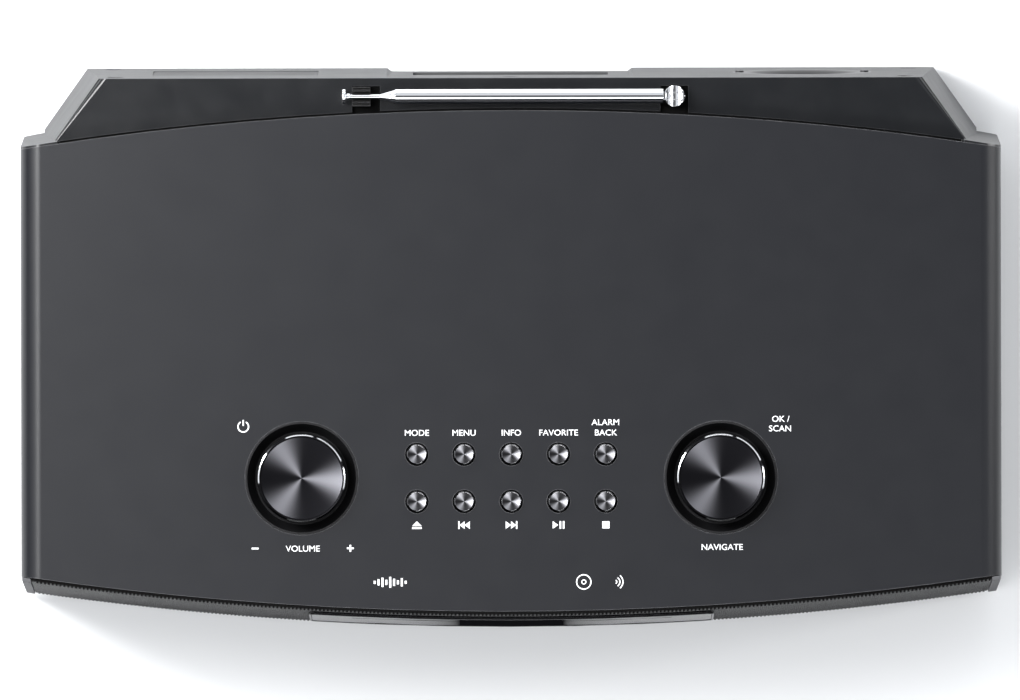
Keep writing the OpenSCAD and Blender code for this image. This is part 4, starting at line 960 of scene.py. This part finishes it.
key_place = {node: middle(node)[0] for node in keys}
for node, words in (("key_mode", "MODE"), ("key_menu", "MENU"), ("key_info", "INFO"),
                    ("key_favourite", "FAVORITE"), ("key_alarm", "BACK")):
    place = key_place[node]
    lettering(words, place.x, place.y + FIRST_LINE)
lettering("ALARM", key_place["key_alarm"].x, key_place["key_alarm"].y + SECOND_LINE)
volume, navigate = middle("volume_knob")[0], middle("navigate_knob")[0]
lettering("VOLUME", volume.x + 0.4 * MM, volume.y - 28.4 * MM)
lettering("NAVIGATE", navigate.x + 0.4 * MM, navigate.y - 28.1 * MM)
lettering("OK /", navigate.x + 23.2 * MM, navigate.y + 21.5 * MM)
lettering("SCAN", navigate.x + 23.0 * MM, navigate.y + 17.8 * MM)

# %% [markdown]
# ## Symbols
# Stop, play and skip are the same plain shapes on every player: bars and triangles. The power symbol is a broken
# ring with a bar. Three small pictograms near the front edge, a row of sound bars, a disc and three waves, say what
# the radio plays.

# %% Draw the symbols
def symbol(name, shapes, x, y):
    """shapes is a list of outlines, each a list of points in millimetres."""
    bm = bmesh.new()
    for outline in shapes:
        face = bm.faces.new([bm.verts.new((px * MM, py * MM, 0)) for px, py in outline])
        face.normal_update()
        if face.normal.z < 0:
            face.normal_flip()
    raised = bmesh.ops.extrude_face_region(bm, geom=bm.faces[:])["geom"]
    bmesh.ops.translate(bm, verts=[v for v in raised if isinstance(v, bmesh.types.BMVert)], vec=(0, 0, 0.03 * MM))
    bmesh.ops.recalc_face_normals(bm, faces=bm.faces)
    bmesh.ops.translate(bm, verts=bm.verts, vec=(x, y, PRINT_Z - 0.015 * MM))
    return new_piece("print_" + name, bm, [print_white], "cabinet")


def bar(x0, y0, x1, y1):
    return [(x0, y0), (x1, y0), (x1, y1), (x0, y1)]


def arrow(x0, x1, half):
    return [(x0, -half), (x1, 0), (x0, half)]


def ring_part(radius, width, start, end, steps=28):
    turn = [math.radians(start + (end - start) * i / steps) for i in range(steps + 1)]
    pairs = [((radius * math.cos(a), radius * math.sin(a)), ((radius - width) * math.cos(a),
              (radius - width) * math.sin(a))) for a in turn]
    return [[a[0], a[1], b[1], b[0]] for a, b in zip(pairs, pairs[1:])]


UNDER = 9.15 * MM
below = {node: (place.x, place.y - UNDER) for node, place in key_place.items()}
symbol("eject", [[(-1.85, -0.35), (1.85, -0.35), (0, 1.55)], bar(-1.85, -1.45, 1.85, -0.8)], *below["key_eject"])
symbol("previous", [bar(-2.3, -1.5, -1.75, 1.5), arrow(0.15, -1.75, 1.5), arrow(2.2, 0.2, 1.5)],
       *below["key_previous"])
symbol("next", [arrow(-2.2, -0.2, 1.5), arrow(-0.15, 1.75, 1.5), bar(1.75, -1.5, 2.3, 1.5)], *below["key_next"])
symbol("play", [arrow(-2.3, -0.2, 1.5), bar(0.35, -1.5, 1.0, 1.5), bar(1.6, -1.5, 2.25, 1.5)], *below["key_play"])
symbol("stop", [bar(-1.38, -1.38, 1.38, 1.38)], *below["key_stop"])
symbol("less", [bar(-1.35, -0.32, 1.35, 0.32)], volume.x - 18.1 * MM, volume.y - 27.2 * MM)
symbol("more", [bar(-1.35, -0.32, 1.35, 0.32), bar(-0.32, 0.32, 0.32, 1.35), bar(-0.32, -1.35, 0.32, -0.32)],
       volume.x + 18.8 * MM, volume.y - 27.2 * MM)
symbol("power", ring_part(2.3, 0.5, 120, 420) + [bar(-0.25, 0.3, 0.25, 2.6)], volume.x - 22.6 * MM,
       volume.y + 20.0 * MM)
SOUND_BARS = (1.2, 2.4, 3.6, 2.0, 4.2, 2.8, 1.6, 3.2, 1.2)
symbol("sound_bars", [bar(i * 1.5 - 6.4, -tall / 2, i * 1.5 - 5.6, tall / 2) for i, tall in enumerate(SOUND_BARS)],
       -47 * MM, -91 * MM)
symbol("disc", ring_part(3.0, 0.45, 0, 360, 40) + ring_part(1.0, 0.4, 0, 360, 20), 28 * MM, -91 * MM)
symbol("waves", ring_part(1.0, 0.45, -60, 60, 8) + ring_part(2.2, 0.45, -55, 55, 12)
       + ring_part(3.4, 0.45, -50, 50, 16), 40 * MM, -91 * MM)

# %% [markdown]
# ## The table
# A pale sheet under the radio catches its soft shadow.

# %% Lay the floor
floor_bm = bmesh.new()
bmesh.ops.create_grid(floor_bm, x_segments=1, y_segments=1, size=12.0)
floor_mesh = bpy.data.meshes.new("floor")
floor_bm.to_mesh(floor_mesh)
floor_bm.free()
floor = bpy.data.objects.new("floor", floor_mesh)
bpy.context.scene.collection.objects.link(floor)
floor_mesh.materials.append(finish("pale_paper", (0.80, 0.81, 0.82), 0.8, grain=60.0, relief=0.02, wear_and_highlight=0.0, tint=0.02,
                                   tint_scale=2.0))
floor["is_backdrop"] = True

# %% [markdown]
# ## The size
# The box round the finished pieces is printed.

# %% Print the size of the finished pieces
low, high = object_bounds()
print("visual", [round(v / MM, 1) for v in (*low, *high)])
